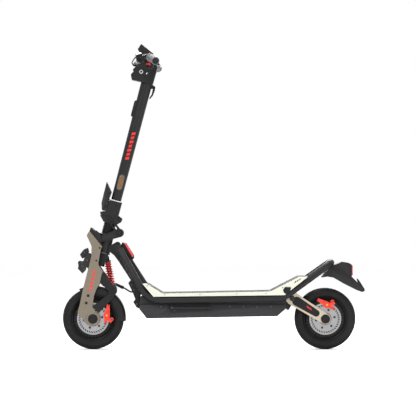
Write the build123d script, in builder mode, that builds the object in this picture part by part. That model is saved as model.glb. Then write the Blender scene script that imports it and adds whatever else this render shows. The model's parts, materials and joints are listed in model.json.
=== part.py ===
from build123d import *
import os
from math import cos, radians, sin

# Electric kick scooter with a tubular frame, a sprung front fork and a sprung rear arm.
# Millimetres. X runs from the front wheel (-X) to the rear wheel (+X), Y to the rider's
# right and Z up. The origin is on the ground, under the middle of the overall box.

# ---- driving dimensions ----
WHEEL_RADIUS = 135.0
TYRE_HALF_WIDTH = 40.0
FRONT_AXLE = (-529.3, 135.0)
REAR_AXLE = (489.5, 135.0)
STEER_TILT = 14.63
STEER_GROUND_X = -600.4
BAR_HALF_WIDTH = 305.0
RAIL_RADIUS = 16.0
RAIL_HALF_SPREAD = 100.0
DECK_HALF_WIDTH = 112.0
LEG_INNER = 50.0
LEG_OUTER = 64.0
ARM_OUTER = 62.0
HUB_FACE = 33.0
DISC_INNER_FACE = 41.0
DISC_THICKNESS = 2.0
DISC_RADIUS = 70.0
HOUSING_WALL = 3.0
MAT_THICKNESS = 3.5
DECK_PLATE_THICKNESS = 5.5
RUNNING_FIT = 0.05
FORK_TRAVEL = 30.0

TILT_SIN = sin(radians(STEER_TILT))
TILT_COS = cos(radians(STEER_TILT))

# Hinge and pivot points in the side view (X, Z).
FOLD_PIN = (-411.9, 571.0)
LEVER_PIVOT = (-480.9, 620.0)
LINK_TOP_PIVOT = (-464.0, 579.0)
KNEE = (-414.7, 510.8)
LINK_BOTTOM_PIVOT = (-515.9, 477.8)
FRONT_SHOCK_TOP = (-472.0, 408.0)
FRONT_SHOCK_BOTTOM = (-443.0, 262.0)
REAR_ARM_PIVOT = (344.0, 225.0)
REAR_SHOCK_FRONT = (240.0, 226.0)
REAR_SHOCK_REAR = (346.0, 283.0)
KICKSTAND_PIVOT = (-183.7, 185.2)


# ---- planes and small shapes that many pieces share ----
def side(y):
    """Sketch plane parallel to the scooter's side, at width y; its normal is -Y."""
    return Plane.XZ.offset(-y)


def steer_point(behind, along):
    """Side-view point, a distance behind the steering axis and along it from the ground."""
    x = STEER_GROUND_X + behind * TILT_COS + along * TILT_SIN
    z = -behind * TILT_SIN + along * TILT_COS
    return (x, z)


def steer_plane(along, behind=0.0):
    """Plane square to the steering axis; its local x points rearwards and y to the right."""
    x, z = steer_point(behind, along)
    return Plane(origin=(x, 0, z), x_dir=(TILT_COS, 0, -TILT_SIN), z_dir=(TILT_SIN, 0, TILT_COS))


def steer_outline(*points):
    return [steer_point(behind, along) for behind, along in points]


def save(builder, name):
    """Label a finished piece and write its STEP file."""
    builder.part.label = name
    export_step(builder.part, f"parts/{name}.step")


os.makedirs("parts", exist_ok=True)

# =====================================================================================
# Frame: side rails, neck, battery case, deck and rear mudguard
# =====================================================================================
RAIL_NECK = (-412.0, 440.0, 38.5)
RAIL_FRONT_BEND = (-289.2, 218.5, RAIL_HALF_SPREAD)
RAIL_REAR_BEND = (300.0, 227.8, RAIL_HALF_SPREAD)
RAIL_LOOP = (514.0, 381.0, 72.0)


def rail_corner(point, hand):
    x, z, y = point
    return (x, hand * y, z)


rail_corners = [rail_corner(p, -1) for p in (RAIL_NECK, RAIL_FRONT_BEND, RAIL_REAR_BEND, RAIL_LOOP)]
rail_corners += [rail_corner(p, 1) for p in (RAIL_LOOP, RAIL_REAR_BEND, RAIL_FRONT_BEND, RAIL_NECK)]
rail_bends = [110, 70, 50, 50, 70, 110]

with BuildPart() as rail_solid:
    with BuildLine() as rail_path:
        FilletPolyline(*rail_corners, radius=rail_bends)
    with BuildSketch(Plane(origin=rail_path.line @ 0, z_dir=rail_path.line % 0)):
        Circle(RAIL_RADIUS)
    sweep()

with BuildPart() as frame_rails:
    with BuildLine():
        FilletPolyline(*rail_corners, radius=rail_bends)
    with BuildSketch(Plane(origin=rail_path.line @ 0, z_dir=rail_path.line % 0)):
        Circle(RAIL_RADIUS)
        Circle(RAIL_RADIUS - HOUSING_WALL, mode=Mode.SUBTRACT)
    sweep()
save(frame_rails, "frame_rails")

# The neck is a box spine behind the head tube; the rails are welded into its cheeks.
HEAD_TUBE_RADIUS = 31.0
BEARING_RADIUS = 27.0
COLUMN_RADIUS = 22.0
HEAD_BOTTOM = 436.0
HEAD_TOP = 521.0
NECK_TOP_LINE = [(-408, 458), (-395, 432), (-373, 405), (-357, 393)]
NECK_OUTLINE = [
    *steer_outline((10, 480), (31, 484), (50, 502)),
    (-414, 470),
    *NECK_TOP_LINE,
    (-284, 279),
    (-274, 264),
    (-303, 262),
    (-366, 306),
    (-419, 388),
    (-438, 413),
    (-453, 425),
    *steer_outline((10, 440)),
]
with BuildPart() as frame_neck:
    with BuildSketch(side(0)):
        Polygon(*NECK_OUTLINE)
    extrude(amount=21, both=True)
    with BuildSketch(side(0)):
        Polygon((-428, 462), (-408, 457), (-388, 424), (-368, 392), (-392, 376), (-428, 430))
    extrude(amount=50, both=True)
    with BuildSketch(steer_plane(HEAD_BOTTOM)):
        Circle(HEAD_TUBE_RADIUS)
    extrude(amount=HEAD_TOP - HEAD_BOTTOM)
    with BuildSketch(steer_plane(HEAD_BOTTOM)):
        Circle(HEAD_TUBE_RADIUS + 2)
    extrude(amount=7)
    with BuildSketch(steer_plane(HEAD_BOTTOM - 1)):
        Circle(BEARING_RADIUS + RUNNING_FIT)
    extrude(amount=HEAD_TOP - HEAD_BOTTOM + 2, mode=Mode.SUBTRACT)
    add(rail_solid.part, mode=Mode.SUBTRACT)
save(frame_neck, "frame_neck")

with BuildPart() as headset_bearings:
    with BuildSketch(steer_plane(HEAD_BOTTOM + 1), steer_plane(HEAD_TOP - 13)):
        Circle(BEARING_RADIUS)
        Circle(COLUMN_RADIUS + RUNNING_FIT, mode=Mode.SUBTRACT)
    extrude(amount=12)
save(headset_bearings, "headset_bearings")

# Light box on top of the neck.
with BuildPart() as neck_light:
    with BuildSketch(side(0)):
        Polygon(*NECK_TOP_LINE, (-350, 401), (-351, 414), (-384, 466), (-401, 470))
    extrude(amount=20, both=True)
    chamfer(neck_light.edges().filter_by(GeomType.LINE).group_by(Axis.Y)[0], 3)
    chamfer(neck_light.edges().filter_by(GeomType.LINE).group_by(Axis.Y)[-1], 3)
    add(rail_solid.part, mode=Mode.SUBTRACT)
    add(frame_neck.part, mode=Mode.SUBTRACT)
save(neck_light, "neck_light")

# Battery case: a cast tray between the rails, open at the top, with a channel behind it
# that the rear shock lies in.
CASE_HALF_WIDTH = 82.0
CASE_LOWER_HALF_WIDTH = 88.0
CASE_TOP = 236.0
CASE_FLOOR = 144.0
SHOCK_CHANNEL_HALF_WIDTH = 27.0
CASE_OUTLINE = [
    (-296, CASE_TOP),
    (-322, 232),
    (-326, 180),
    (-293, 138),
    (278, 148),
    (318, 183.5),
    (318, 214),
    (296, CASE_TOP),
]
STAND_Y = -99.0
STAND_LENGTH = 172.0
STAND_PIN_RADIUS = 3.0
STAND_OUTWARD = Vector(0, -0.936, 0.352)


def stand_plane(distance):
    """Plane square to the kickstand's pin, at a distance outwards from the leg's middle."""
    centre = Vector(KICKSTAND_PIVOT[0], STAND_Y, KICKSTAND_PIVOT[1])
    return Plane(origin=centre + STAND_OUTWARD * distance, x_dir=(1, 0, 0), z_dir=STAND_OUTWARD)


with BuildPart() as battery_case:
    with BuildSketch(side(0)):
        Polygon(*CASE_OUTLINE)
    extrude(amount=CASE_HALF_WIDTH, both=True)
    with BuildSketch(side(0)):
        Polygon((-324, 198), (-325.5, 181), (-293, 138), (278, 148), (317, 182.6), (317, 198))
    extrude(amount=CASE_LOWER_HALF_WIDTH, both=True)
    with BuildSketch(side(0)):
        Polygon((-312, 240), (-312, 186), (-288, CASE_FLOOR), (212, 153), (212, 240))
    extrude(amount=CASE_HALF_WIDTH - 4, both=True, mode=Mode.SUBTRACT)
    with BuildSketch(side(0)):
        Polygon((218, 240), (218, 198), (319, 198), (319, 240))
    extrude(amount=SHOCK_CHANNEL_HALF_WIDTH, both=True, mode=Mode.SUBTRACT)
    with BuildSketch(side(16)):
        with Locations(REAR_SHOCK_FRONT):
            Circle(9)
        Polygon((231, 226), (231, 196), (252, 196), (249, 226))
    extrude(amount=6)
    with BuildSketch(side(-10)):
        with Locations(REAR_SHOCK_FRONT):
            Circle(9)
        Polygon((231, 226), (231, 196), (252, 196), (249, 226))
    extrude(amount=6)
    with BuildSketch(side(0)):
        with Locations(REAR_SHOCK_FRONT):
            Circle(4)
    extrude(amount=12, both=True)
    with BuildSketch(side(-CASE_LOWER_HALF_WIDTH)):
        with Locations((KICKSTAND_PIVOT[0], 183)):
            RectangleRounded(30, 30, 4)
    extrude(amount=1)
    with BuildSketch(stand_plane(-14)):
        Circle(STAND_PIN_RADIUS)
    extrude(amount=22)
    with BuildSketch(stand_plane(6.8)):
        Circle(5)
    extrude(amount=1.8)
    with BuildSketch(Plane.YZ.offset(KICKSTAND_PIVOT[0] - 14)):
        Polygon((-CASE_LOWER_HALF_WIDTH, 176), (-107, 171), (-107, 190), (-CASE_LOWER_HALF_WIDTH, 197))
    extrude(amount=3)
    add(rail_solid.part, mode=Mode.SUBTRACT)
save(battery_case, "battery_case")

# Nose cover ahead of the case, where the front motor's cable goes in.
NOSE_OUTLINE = [
    (-366, 303.5),
    (-375, 292),
    (-355, 250),
    (-344, 220),
    (-353, 209),
    (-339, 186),
    (-328.5, 179.5),
    (-324, 234),
    (-306, 261),
]
with BuildPart() as nose_cover:
    with BuildSketch(side(0)):
        Polygon(*NOSE_OUTLINE)
    extrude(amount=46, both=True)
    fillet(nose_cover.edges().filter_by(GeomType.LINE).group_by(Axis.X)[0], 2)
    with BuildSketch(side(0)):
        Polygon((-356, 293), (-334, 246), (-332, 200), (-331, 236), (-312, 258))
    extrude(amount=40, both=True, mode=Mode.SUBTRACT)
    add(rail_solid.part, mode=Mode.SUBTRACT)
save(nose_cover, "nose_cover")

with BuildPart() as battery_pack:
    with BuildSketch(side(0)):
        Polygon((-255, 220), (-255, 152), (110, 158), (110, 226))
    extrude(amount=72, both=True)
    fillet(battery_pack.edges().filter_by(Axis.Y), 4)
save(battery_pack, "battery_pack")

with BuildPart() as motor_controllers:
    for near_face in (-4, 64):
        with BuildSketch(side(near_face)):
            Polygon((124, 212), (124, 158), (204, 160), (204, 212))
        extrude(amount=60)
save(motor_controllers, "motor_controllers")

# Deck line, from the front ramp to the flat top of the kick plate.
DECK_LINE = [(-296, 293.5), (-222, 249), (247.5, 258), (373, 322.5), (410, 322.5)]


def band(depth_top, depth_bottom, line=DECK_LINE):
    """Outline between two depths below the deck line."""
    upper = [(x, z - depth_top) for x, z in line]
    lower = [(x, z - depth_bottom) for x, z in reversed(line)]
    return upper + lower


KICK_TOP_HALF_WIDTH = 64.0
SHOCK_RELIEF_HALF_WIDTH = 66.0
DECK_MAT_MARGIN = 6.0
MAT_BOTTOM = MAT_THICKNESS
PLATE_BOTTOM = MAT_THICKNESS + DECK_PLATE_THICKNESS
with BuildPart() as deck_plate:
    with BuildSketch(side(0)):
        Polygon(*band(MAT_BOTTOM, PLATE_BOTTOM, DECK_LINE[:4]))
    extrude(amount=DECK_HALF_WIDTH, both=True)
    with BuildSketch(side(0)):
        Polygon(*band(MAT_BOTTOM, PLATE_BOTTOM, DECK_LINE[3:]))
    extrude(amount=KICK_TOP_HALF_WIDTH, both=True)
    with BuildSketch(side(0)):
        Polygon((262, 260.3), (357, 309.1), (357, 296), (258, 245), (258, 254))
    extrude(amount=SHOCK_RELIEF_HALF_WIDTH, both=True, mode=Mode.SUBTRACT)
    add(frame_neck.part, mode=Mode.SUBTRACT)
save(deck_plate, "deck_plate")

with BuildPart() as deck_mat:
    with BuildSketch(side(0)):
        Polygon(*band(0, MAT_BOTTOM, DECK_LINE[:4]))
    extrude(amount=DECK_HALF_WIDTH - DECK_MAT_MARGIN, both=True)
    with BuildSketch(side(0)):
        Polygon(*band(0, MAT_BOTTOM, DECK_LINE[3:]))
    extrude(amount=KICK_TOP_HALF_WIDTH - DECK_MAT_MARGIN, both=True)
    add(frame_neck.part, mode=Mode.SUBTRACT)
save(deck_mat, "deck_mat")

# Side covers: painted panels along both edges of the deck. The left one holds the port.
PORT_CENTRE = (318.0, 262.0)
PORT_RADIUS = 15.0
COVER_OUTLINE = [
    (-311, 291),
    (-296, 292.5),
    (-222, 248),
    (247.5, 257),
    (373, 321.5),
    (410, 321.5),
    (404, 316),
    (309, 241),
    (-263, 234),
]
COVER_THICKNESS = 5.0
CAP_HINGE = (333.0, 272.5)
CAP_RIVET_RADIUS = 1.8
with BuildPart() as deck_side_covers:
    for near_face in (-DECK_HALF_WIDTH, DECK_HALF_WIDTH + COVER_THICKNESS):
        with BuildSketch(side(near_face)):
            Polygon(*COVER_OUTLINE)
        extrude(amount=COVER_THICKNESS)
    with BuildSketch(side(-DECK_HALF_WIDTH + 1)):
        with Locations(PORT_CENTRE):
            Circle(PORT_RADIUS)
    extrude(amount=COVER_THICKNESS + 2, mode=Mode.SUBTRACT)
    with BuildSketch(side(-DECK_HALF_WIDTH)):
        with Locations(CAP_HINGE):
            Circle(CAP_RIVET_RADIUS + RUNNING_FIT)
    extrude(amount=COVER_THICKNESS, mode=Mode.SUBTRACT)
    add(rail_solid.part, mode=Mode.SUBTRACT)
save(deck_side_covers, "deck_side_covers")

with BuildPart() as charge_port:
    with BuildSketch(side(-DECK_HALF_WIDTH + 6)):
        with Locations(PORT_CENTRE):
            Circle(PORT_RADIUS - RUNNING_FIT)
            Circle(8, mode=Mode.SUBTRACT)
    extrude(amount=COVER_THICKNESS + 6)
    with BuildSketch(side(-DECK_HALF_WIDTH + 6)):
        with Locations(PORT_CENTRE):
            Circle(PORT_RADIUS - RUNNING_FIT)
    extrude(amount=2)
    add(rail_solid.part, mode=Mode.SUBTRACT)
    add(deck_plate.part, mode=Mode.SUBTRACT)
save(charge_port, "charge_port")

# Cap over the port: it swings aside on a rivet at its upper rear edge.
with BuildPart() as charge_port_cap:
    with BuildSketch(side(-DECK_HALF_WIDTH - COVER_THICKNESS - 0.4)):
        with Locations(PORT_CENTRE):
            Circle(PORT_RADIUS - 1)
        with Locations(CAP_HINGE):
            Circle(3.5)
        make_hull()
    extrude(amount=3)
    with BuildSketch(side(-DECK_HALF_WIDTH - 0.4)):
        with Locations(CAP_HINGE):
            Circle(CAP_RIVET_RADIUS)
    extrude(amount=COVER_THICKNESS + 2)
save(charge_port_cap, "charge_port_cap")

# Kickstand on the left of the case.
with BuildPart() as kickstand_leg:
    with BuildSketch(Plane.YZ.offset(KICKSTAND_PIVOT[0] - 8)):
        with Locations((STAND_Y, KICKSTAND_PIVOT[1])):
            Circle(6.5)
    extrude(amount=STAND_LENGTH - 16)
    with BuildSketch(Plane.YZ.offset(KICKSTAND_PIVOT[0] + STAND_LENGTH - 26)):
        with Locations((STAND_Y, KICKSTAND_PIVOT[1])):
            Circle(7.5)
    extrude(amount=24)
    fillet(kickstand_leg.edges().group_by(Axis.X)[-1], 3)
    with BuildSketch(stand_plane(-10)):
        Circle(STAND_PIN_RADIUS + RUNNING_FIT)
    extrude(amount=20, mode=Mode.SUBTRACT)
save(kickstand_leg, "kickstand_leg")

# Bracket behind the case, with the bolt that the rear arm turns on.
PIVOT_BORE = 8.0
ARM_INNER = 50.0
with BuildPart() as rear_pivot_bracket:
    with BuildSketch(side(0)):
        Polygon(
            (318, 240), (318, 176), (328, 173), (344, 199), (358, 212), (358, 238), (352, 246), (324, 246)
        )
    extrude(amount=48, both=True)
    with BuildSketch(side(0)):
        Polygon((316, 250), (316, 232), (362, 240), (362, 250))
    extrude(amount=SHOCK_CHANNEL_HALF_WIDTH, both=True, mode=Mode.SUBTRACT)
    with BuildSketch(side(0)):
        with Locations(REAR_ARM_PIVOT):
            Circle(PIVOT_BORE)
    extrude(amount=ARM_OUTER + 1, both=True)
    with BuildSketch(side(-ARM_OUTER - 1)):
        with Locations(REAR_ARM_PIVOT):
            RegularPolygon(13, 6)
    extrude(amount=5)
    with BuildSketch(side(ARM_OUTER + 6)):
        with Locations(REAR_ARM_PIVOT):
            RegularPolygon(13, 6)
    extrude(amount=5)
save(rear_pivot_bracket, "rear_pivot_bracket")

# Rear mudguard: a moulded tail that hangs from the loop of the rails.
MUDGUARD_HALF_WIDTH = 46.0
TAIL_OUTLINE = [
    (474, 316),
    (499, 320),
    (525, 315.5),
    (570, 289.5),
    (628, 260.5),
    (651, 252.5),
    (664, 257),
    (635, 291),
    (603, 322),
    (603, 368),
    (598, 378),
    (590, 381),
    (562, 385),
    (530, 371),
    (512, 362),
    (492, 340),
]
TAIL_CAVITY = [
    (500, 325),
    (527, 320.5),
    (572, 294),
    (630, 265),
    (648, 260),
    (632, 286),
    (599, 319),
    (599, 366),
    (588, 377),
    (563, 380),
    (533, 366),
    (515, 356),
]
with BuildPart() as rear_mudguard:
    with BuildSketch(side(0)):
        Polygon(*TAIL_OUTLINE)
    extrude(amount=MUDGUARD_HALF_WIDTH, both=True)
    with BuildSketch(side(0)):
        Polygon(*TAIL_CAVITY)
    extrude(amount=MUDGUARD_HALF_WIDTH - HOUSING_WALL, both=True, mode=Mode.SUBTRACT)
    with BuildSketch(side(0)):
        Polygon((635, 291), (663, 257), (664, 264), (640, 302), (632, 311), (630, 309))
    extrude(amount=24, both=True)
    add(rail_solid.part, mode=Mode.SUBTRACT)
save(rear_mudguard, "rear_mudguard")

with BuildPart() as tail_light_lens:
    with BuildSketch(side(0)):
        Polygon((603, 323), (611, 325), (611, 368), (603, 371))
    extrude(amount=32, both=True)
save(tail_light_lens, "tail_light_lens")

# =====================================================================================
# Wheels: the front and rear wheels are the same set of pieces
# =====================================================================================
RIM_RADIUS = 92.0
BEAD_RADIUS = 88.0
HUB_WALL = 5.0
MOTOR_CORE_RADIUS = 78.0
AXLE_RADIUS = 8.0
HUB_BORE = 15.0


def wheel_axis(axle):
    x, z = axle
    return Axis((x, 0, z), (0, 1, 0))


def radial_plane(axle):
    """Plane through the axle: local x is the radius, straight up, and local y the width."""
    x, z = axle
    return Plane(origin=(x, 0, z), x_dir=(0, 0, 1), z_dir=(1, 0, 0))


def make_tyre(axle):
    with BuildPart() as tyre:
        with BuildSketch(radial_plane(axle)):
            with BuildLine():
                outer = Polyline((BEAD_RADIUS, 29.7), (92.4, 29.7), (98, 36), (112, TYRE_HALF_WIDTH))
                shoulder = ThreePointArc(outer @ 1, (126, 37.5), (132.2, 28))
                crown = ThreePointArc(shoulder @ 1, (WHEEL_RADIUS, 0), (132.2, -28))
                far = ThreePointArc(crown @ 1, (126, -37.5), (112, -TYRE_HALF_WIDTH))
                Polyline(
                    far @ 1, (98, -36), (92.4, -29.7), (BEAD_RADIUS, -29.7), (BEAD_RADIUS, -23), (98, -28)
                )
                ThreePointArc((98, -28), (126, 0), (98, 28))
                Polyline((98, 28), (BEAD_RADIUS, 23), (BEAD_RADIUS, 29.7))
            make_face()
        revolve(axis=wheel_axis(axle))
    return tyre


def make_hub(axle):
    """Rim and motor shell in one casting, closed by a cover on each side."""
    with BuildPart() as hub:
        with BuildSketch(radial_plane(axle)):
            Polygon(
                (HUB_BORE, -27), (HUB_BORE, -32), (68, -HUB_FACE + 1), (70, -28), (86, -28),
                (RIM_RADIUS, -34), (RIM_RADIUS, -30.2), (BEAD_RADIUS - 0.1, -29.8),
                (BEAD_RADIUS - 0.1, 29.8), (RIM_RADIUS, 30.2), (RIM_RADIUS, 34), (86, 28),
                (70, 28), (68, HUB_FACE - 1), (HUB_BORE, 32), (HUB_BORE, 27),
                (66, 26), (80, 23), (80, -23), (66, -26),
            )
        revolve(axis=wheel_axis(axle))
    return hub


def make_disc(axle):
    """Vented brake disc with its six screws' holes and a ring of slots."""
    x, z = axle
    with BuildPart() as disc:
        with BuildSketch(side(-DISC_INNER_FACE)):
            with Locations((x, z)):
                Circle(DISC_RADIUS)
                Circle(27, mode=Mode.SUBTRACT)
                with PolarLocations(41, 6, start_angle=10):
                    Circle(3.5, mode=Mode.SUBTRACT)
                with PolarLocations(59, 36):
                    SlotOverall(10, 3.2, rotation=12, mode=Mode.SUBTRACT)
        extrude(amount=DISC_THICKNESS)
        with BuildSketch(side(-HUB_FACE + 1)):
            with Locations((x, z)):
                Circle(46)
                Circle(30, mode=Mode.SUBTRACT)
        extrude(amount=DISC_INNER_FACE - HUB_FACE + 1)
    return disc


def make_motor_core(axle):
    """Wheel spindle with the motor's wound stator and the wheel bearings on it."""
    x, z = axle
    with BuildPart() as core:
        with BuildSketch(side(0)):
            with Locations((x, z)):
                Circle(MOTOR_CORE_RADIUS)
        extrude(amount=17, both=True)
        with BuildSketch(side(0)):
            with Locations((x, z)):
                Circle(AXLE_RADIUS)
        extrude(amount=LEG_OUTER + 8, both=True)
        with BuildSketch(side(0)):
            with Locations((x, z)):
                Circle(HUB_BORE - RUNNING_FIT)
        extrude(amount=LEG_INNER, both=True)
    return core


for wheel_name, wheel_axle in (("front", FRONT_AXLE), ("rear", REAR_AXLE)):
    save(make_tyre(wheel_axle), f"{wheel_name}_tyre")
    save(make_hub(wheel_axle), f"{wheel_name}_hub")
    save(make_disc(wheel_axle), f"{wheel_name}_brake_disc")
    save(make_motor_core(wheel_axle), f"{wheel_name}_motor_core")


def make_caliper(axle, angle):
    """Two-piston caliper over the disc; angle turns it about the axle from straight back."""
    x, z = axle
    turn = radians(angle)

    def around(behind, up):
        return (x + behind * cos(turn) - up * sin(turn), z + behind * sin(turn) + up * cos(turn))

    with BuildPart() as caliper:
        with BuildSketch(side(-36)):
            with Locations(around(60, 15)):
                Circle(14)
            Polygon(around(52, 26), around(62, 64), around(73, 62), around(74, 22))
            Polygon(around(66, 12), around(86, -8), around(77, -18), around(56, 2))
            Polygon(around(62, 4), around(58, -26), around(49, -22), around(50, 10))
        extrude(amount=21)
        with BuildSketch(side(-36)):
            with Locations(around(82, -2)):
                Circle(8)
        extrude(amount=21)
        with BuildSketch(side(-DISC_INNER_FACE + 1.2)):
            with Locations((x, z)):
                Circle(DISC_RADIUS + 2)
        extrude(amount=DISC_THICKNESS + 2.4, mode=Mode.SUBTRACT)
    return caliper


# =====================================================================================
# Front fork: it slides along the steering axis, on a rod inside the column
# =====================================================================================
LEG_OUTLINE = [
    (-545, 522),
    (-556.5, 500.5),
    (-535, 453.5),
    (-536, 414),
    (-545, 372),
    (-555, 335),
    (-573, 265),
    (-588, 194),
    (-597, 164.5),
    (-556, 111),
    (-496, 137),
    (-531.5, 188.5),
    (-524, 238),
    (-514, 265),
    (-499, 289.5),
    (-490, 333),
    (-485, 341),
    (-504.5, 371),
    (-505, 382),
    (-493.5, 443),
    (-487.5, 450.6),
]
BOSS_RADIUS = 33.0


with BuildPart() as fork_legs:
    with BuildSketch(side(-LEG_INNER)):
        Polygon(*LEG_OUTLINE)
        with Locations(FRONT_AXLE):
            Circle(BOSS_RADIUS)
            Circle(AXLE_RADIUS, mode=Mode.SUBTRACT)
        with Locations((-550, 237), (-558, 205)):
            Circle(6, mode=Mode.SUBTRACT)
        with Locations((-499, 446), (-514, 391)):
            Circle(3.5, mode=Mode.SUBTRACT)
    extrude(amount=LEG_OUTER - LEG_INNER)
    with BuildSketch(side(-LEG_OUTER)):
        with Locations(FRONT_AXLE):
            Circle(BOSS_RADIUS - 3)
            Circle(21, mode=Mode.SUBTRACT)
    extrude(amount=5)
    mirror(about=Plane.XZ)
save(fork_legs, "fork_legs")

# Two crowns join the legs: the upper one in front of the head tube, with a cheek inside
# each leg, and the lower one under the column, with the rod that slides in the column.
CROWN_CHEEK = 5.5
CROWN_OUTLINE = [
    (-538.6, 537.7),
    (-550, 506),
    (-536, 452),
    (-506, 448),
    (-490, 450),
    (-497.5, 505.5),
]
HEAD_CLEARANCE = 37.0
ROD_RADIUS = 9.5
ROD_BEHIND = -9.0
ROD_TOP = 470.0
CROWN_LOW = 304.0
CROWN_HIGH = 336.0
with BuildPart() as fork_crowns:
    with BuildSketch(side(0)):
        Polygon(*CROWN_OUTLINE)
    extrude(amount=LEG_INNER, both=True)
    with BuildSketch(steer_plane(400)):
        with Locations((-18, 0)):
            Rectangle(2 * HEAD_CLEARANCE - 2, 2 * (LEG_INNER - CROWN_CHEEK))
        with Locations((40, 0)):
            Rectangle(80, 2 * (LEG_INNER - CROWN_CHEEK))
    extrude(amount=200, mode=Mode.SUBTRACT)
    with BuildSketch(side(0)):
        with Locations(LINK_BOTTOM_PIVOT):
            Circle(4)
    extrude(amount=LEG_INNER + 1, both=True, mode=Mode.SUBTRACT)
    with BuildSketch(side(0)):
        Polygon(*steer_outline((-32, CROWN_LOW), (14, CROWN_LOW), (14, CROWN_HIGH), (-32, CROWN_HIGH)))
    extrude(amount=LEG_INNER, both=True)
    with BuildSketch(steer_plane(CROWN_HIGH - 1, ROD_BEHIND)):
        Circle(ROD_RADIUS)
    extrude(amount=ROD_TOP - CROWN_HIGH)
save(fork_crowns, "fork_crowns")


# Brace plates behind the legs: they carry the shock's lower bolt and the caliper.
with BuildPart() as fork_braces:
    with BuildSketch(side(-LEG_INNER)):
        Polygon((-485, 341), (-427, 268), (-427, 258), (-456, 256), (-493, 286), (-500, 300), (-490, 333))
        Polygon((-427, 268), (-427, 250), (-438, 231), (-504, 160), (-531, 189), (-459, 246), (-463, 262))
        with Locations(FRONT_SHOCK_BOTTOM):
            Circle(16)
    extrude(amount=8)
    mirror(about=Plane.XZ)
    with BuildSketch(side(0)):
        with Locations(FRONT_SHOCK_BOTTOM):
            Circle(4)
    extrude(amount=LEG_INNER + 1, both=True)
    add(fork_legs.part, mode=Mode.SUBTRACT)
save(fork_braces, "fork_braces")

# Front mudguard: a curved shell close around the tyre, on stand-offs from the legs.
GUARD_INNER = 139.5
GUARD_OUTER = 143.0
GUARD_SKIRT = 110.0
with BuildPart() as front_mudguard:
    with BuildSketch(radial_plane(FRONT_AXLE)):
        Polygon(
            (GUARD_SKIRT, -46), (GUARD_OUTER - 8, -46), (GUARD_OUTER, -38), (GUARD_OUTER, 38),
            (GUARD_OUTER - 8, 46), (GUARD_SKIRT, 46), (GUARD_SKIRT, 43), (GUARD_INNER - 8, 43),
            (GUARD_INNER, 36), (GUARD_INNER, -36), (GUARD_INNER - 8, -43), (GUARD_SKIRT, -43),
        )
    revolve(axis=wheel_axis(FRONT_AXLE), revolution_arc=360)
    with BuildSketch(side(0)):
        Polygon(
            FRONT_AXLE, (-379, 123), (-340, 60), (-400, -60), (-700, -60), (-720, 140), (-720, 330),
            (-599, 277), (-585, 255),
        )
        Polygon((-545, 262), (-585, 200), (-560, 100), (-470, 100), (-440, 180), (-520, 236))
    extrude(amount=60, both=True, mode=Mode.SUBTRACT)
    with BuildSketch(side(-43.5)):
        with Locations((-540, 262), (-452, 248)):
            Circle(6)
    extrude(amount=LEG_INNER - 43.5)
    with BuildSketch(side(LEG_INNER)):
        with Locations((-540, 262), (-452, 248)):
            Circle(6)
    extrude(amount=LEG_INNER - 43.5)
save(front_mudguard, "front_mudguard")

with BuildPart() as front_caliper:
    add(make_caliper(FRONT_AXLE, 0).part)
    add(fork_braces.part, mode=Mode.SUBTRACT)
save(front_caliper, "front_caliper")

# Lamp and horn on a bracket across the front of the legs.
with BuildPart() as front_lamps:
    with BuildSketch(side(0)):
        Polygon((-538, 418), (-550, 424), (-566, 404), (-574, 384), (-560, 364), (-548, 352), (-543, 372))
    extrude(amount=LEG_INNER, both=True)
    with BuildSketch(side(0)):
        Polygon((-554, 446), (-569, 440), (-588, 416), (-577.6, 398.7), (-563, 404), (-549, 428.6))
    extrude(amount=30, both=True)
    with BuildSketch(side(0)):
        Polygon(
            (-592.5, 389), (-597, 381), (-591, 348), (-577, 333), (-563.7, 347), (-559, 366), (-572, 386)
        )
    extrude(amount=25, both=True)
    add(fork_legs.part, mode=Mode.SUBTRACT)
save(front_lamps, "front_lamps")

# =====================================================================================
# Steered column, folding joint and torque link
# =====================================================================================
COLUMN_TOP = 583.0
PARTING = 600.0
PIVOT_PIN = 4.0
EYE_HALF_WIDTH = 10.0


def along_axis(start, end, distance):
    """Plane on the line between two side-view points, facing from start to end."""
    run_x = end[0] - start[0]
    run_z = end[1] - start[1]
    length = (run_x ** 2 + run_z ** 2) ** 0.5
    origin = (start[0] + run_x * distance / length, 0, start[1] + run_z * distance / length)
    return Plane(origin=origin, x_dir=(0, 1, 0), z_dir=(run_x, 0, run_z))


with BuildPart() as steering_column:
    with BuildSketch(steer_plane(380)):
        Circle(25)
    extrude(amount=HEAD_BOTTOM - 0.5 - 380)
    with BuildSketch(side(0)):
        Polygon(*steer_outline((0, 381), (7, 381), (27, 404), (27, 435.5), (0, 435.5)))
    extrude(amount=25, both=True)
    with BuildSketch(steer_plane(HEAD_BOTTOM - 1)):
        Circle(COLUMN_RADIUS)
    extrude(amount=COLUMN_TOP - HEAD_BOTTOM + 1)
    with BuildSketch(steer_plane(379, ROD_BEHIND)):
        Circle(ROD_RADIUS + RUNNING_FIT)
    extrude(amount=150, mode=Mode.SUBTRACT)
    with BuildSketch(along_axis(FRONT_SHOCK_TOP, FRONT_SHOCK_BOTTOM, 15)):
        Circle(18.5)
    extrude(amount=80, mode=Mode.SUBTRACT)
    with BuildSketch(side(0)):
        Polygon(*steer_outline((7, 379), (45, 379), (45, 439), (9, 439)))
    extrude(amount=EYE_HALF_WIDTH + 0.6, both=True, mode=Mode.SUBTRACT)
    with BuildSketch(side(0)):
        with Locations(FRONT_SHOCK_TOP):
            Circle(PIVOT_PIN)
    extrude(amount=EYE_HALF_WIDTH + 2, both=True)
save(steering_column, "steering_column")

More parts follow.
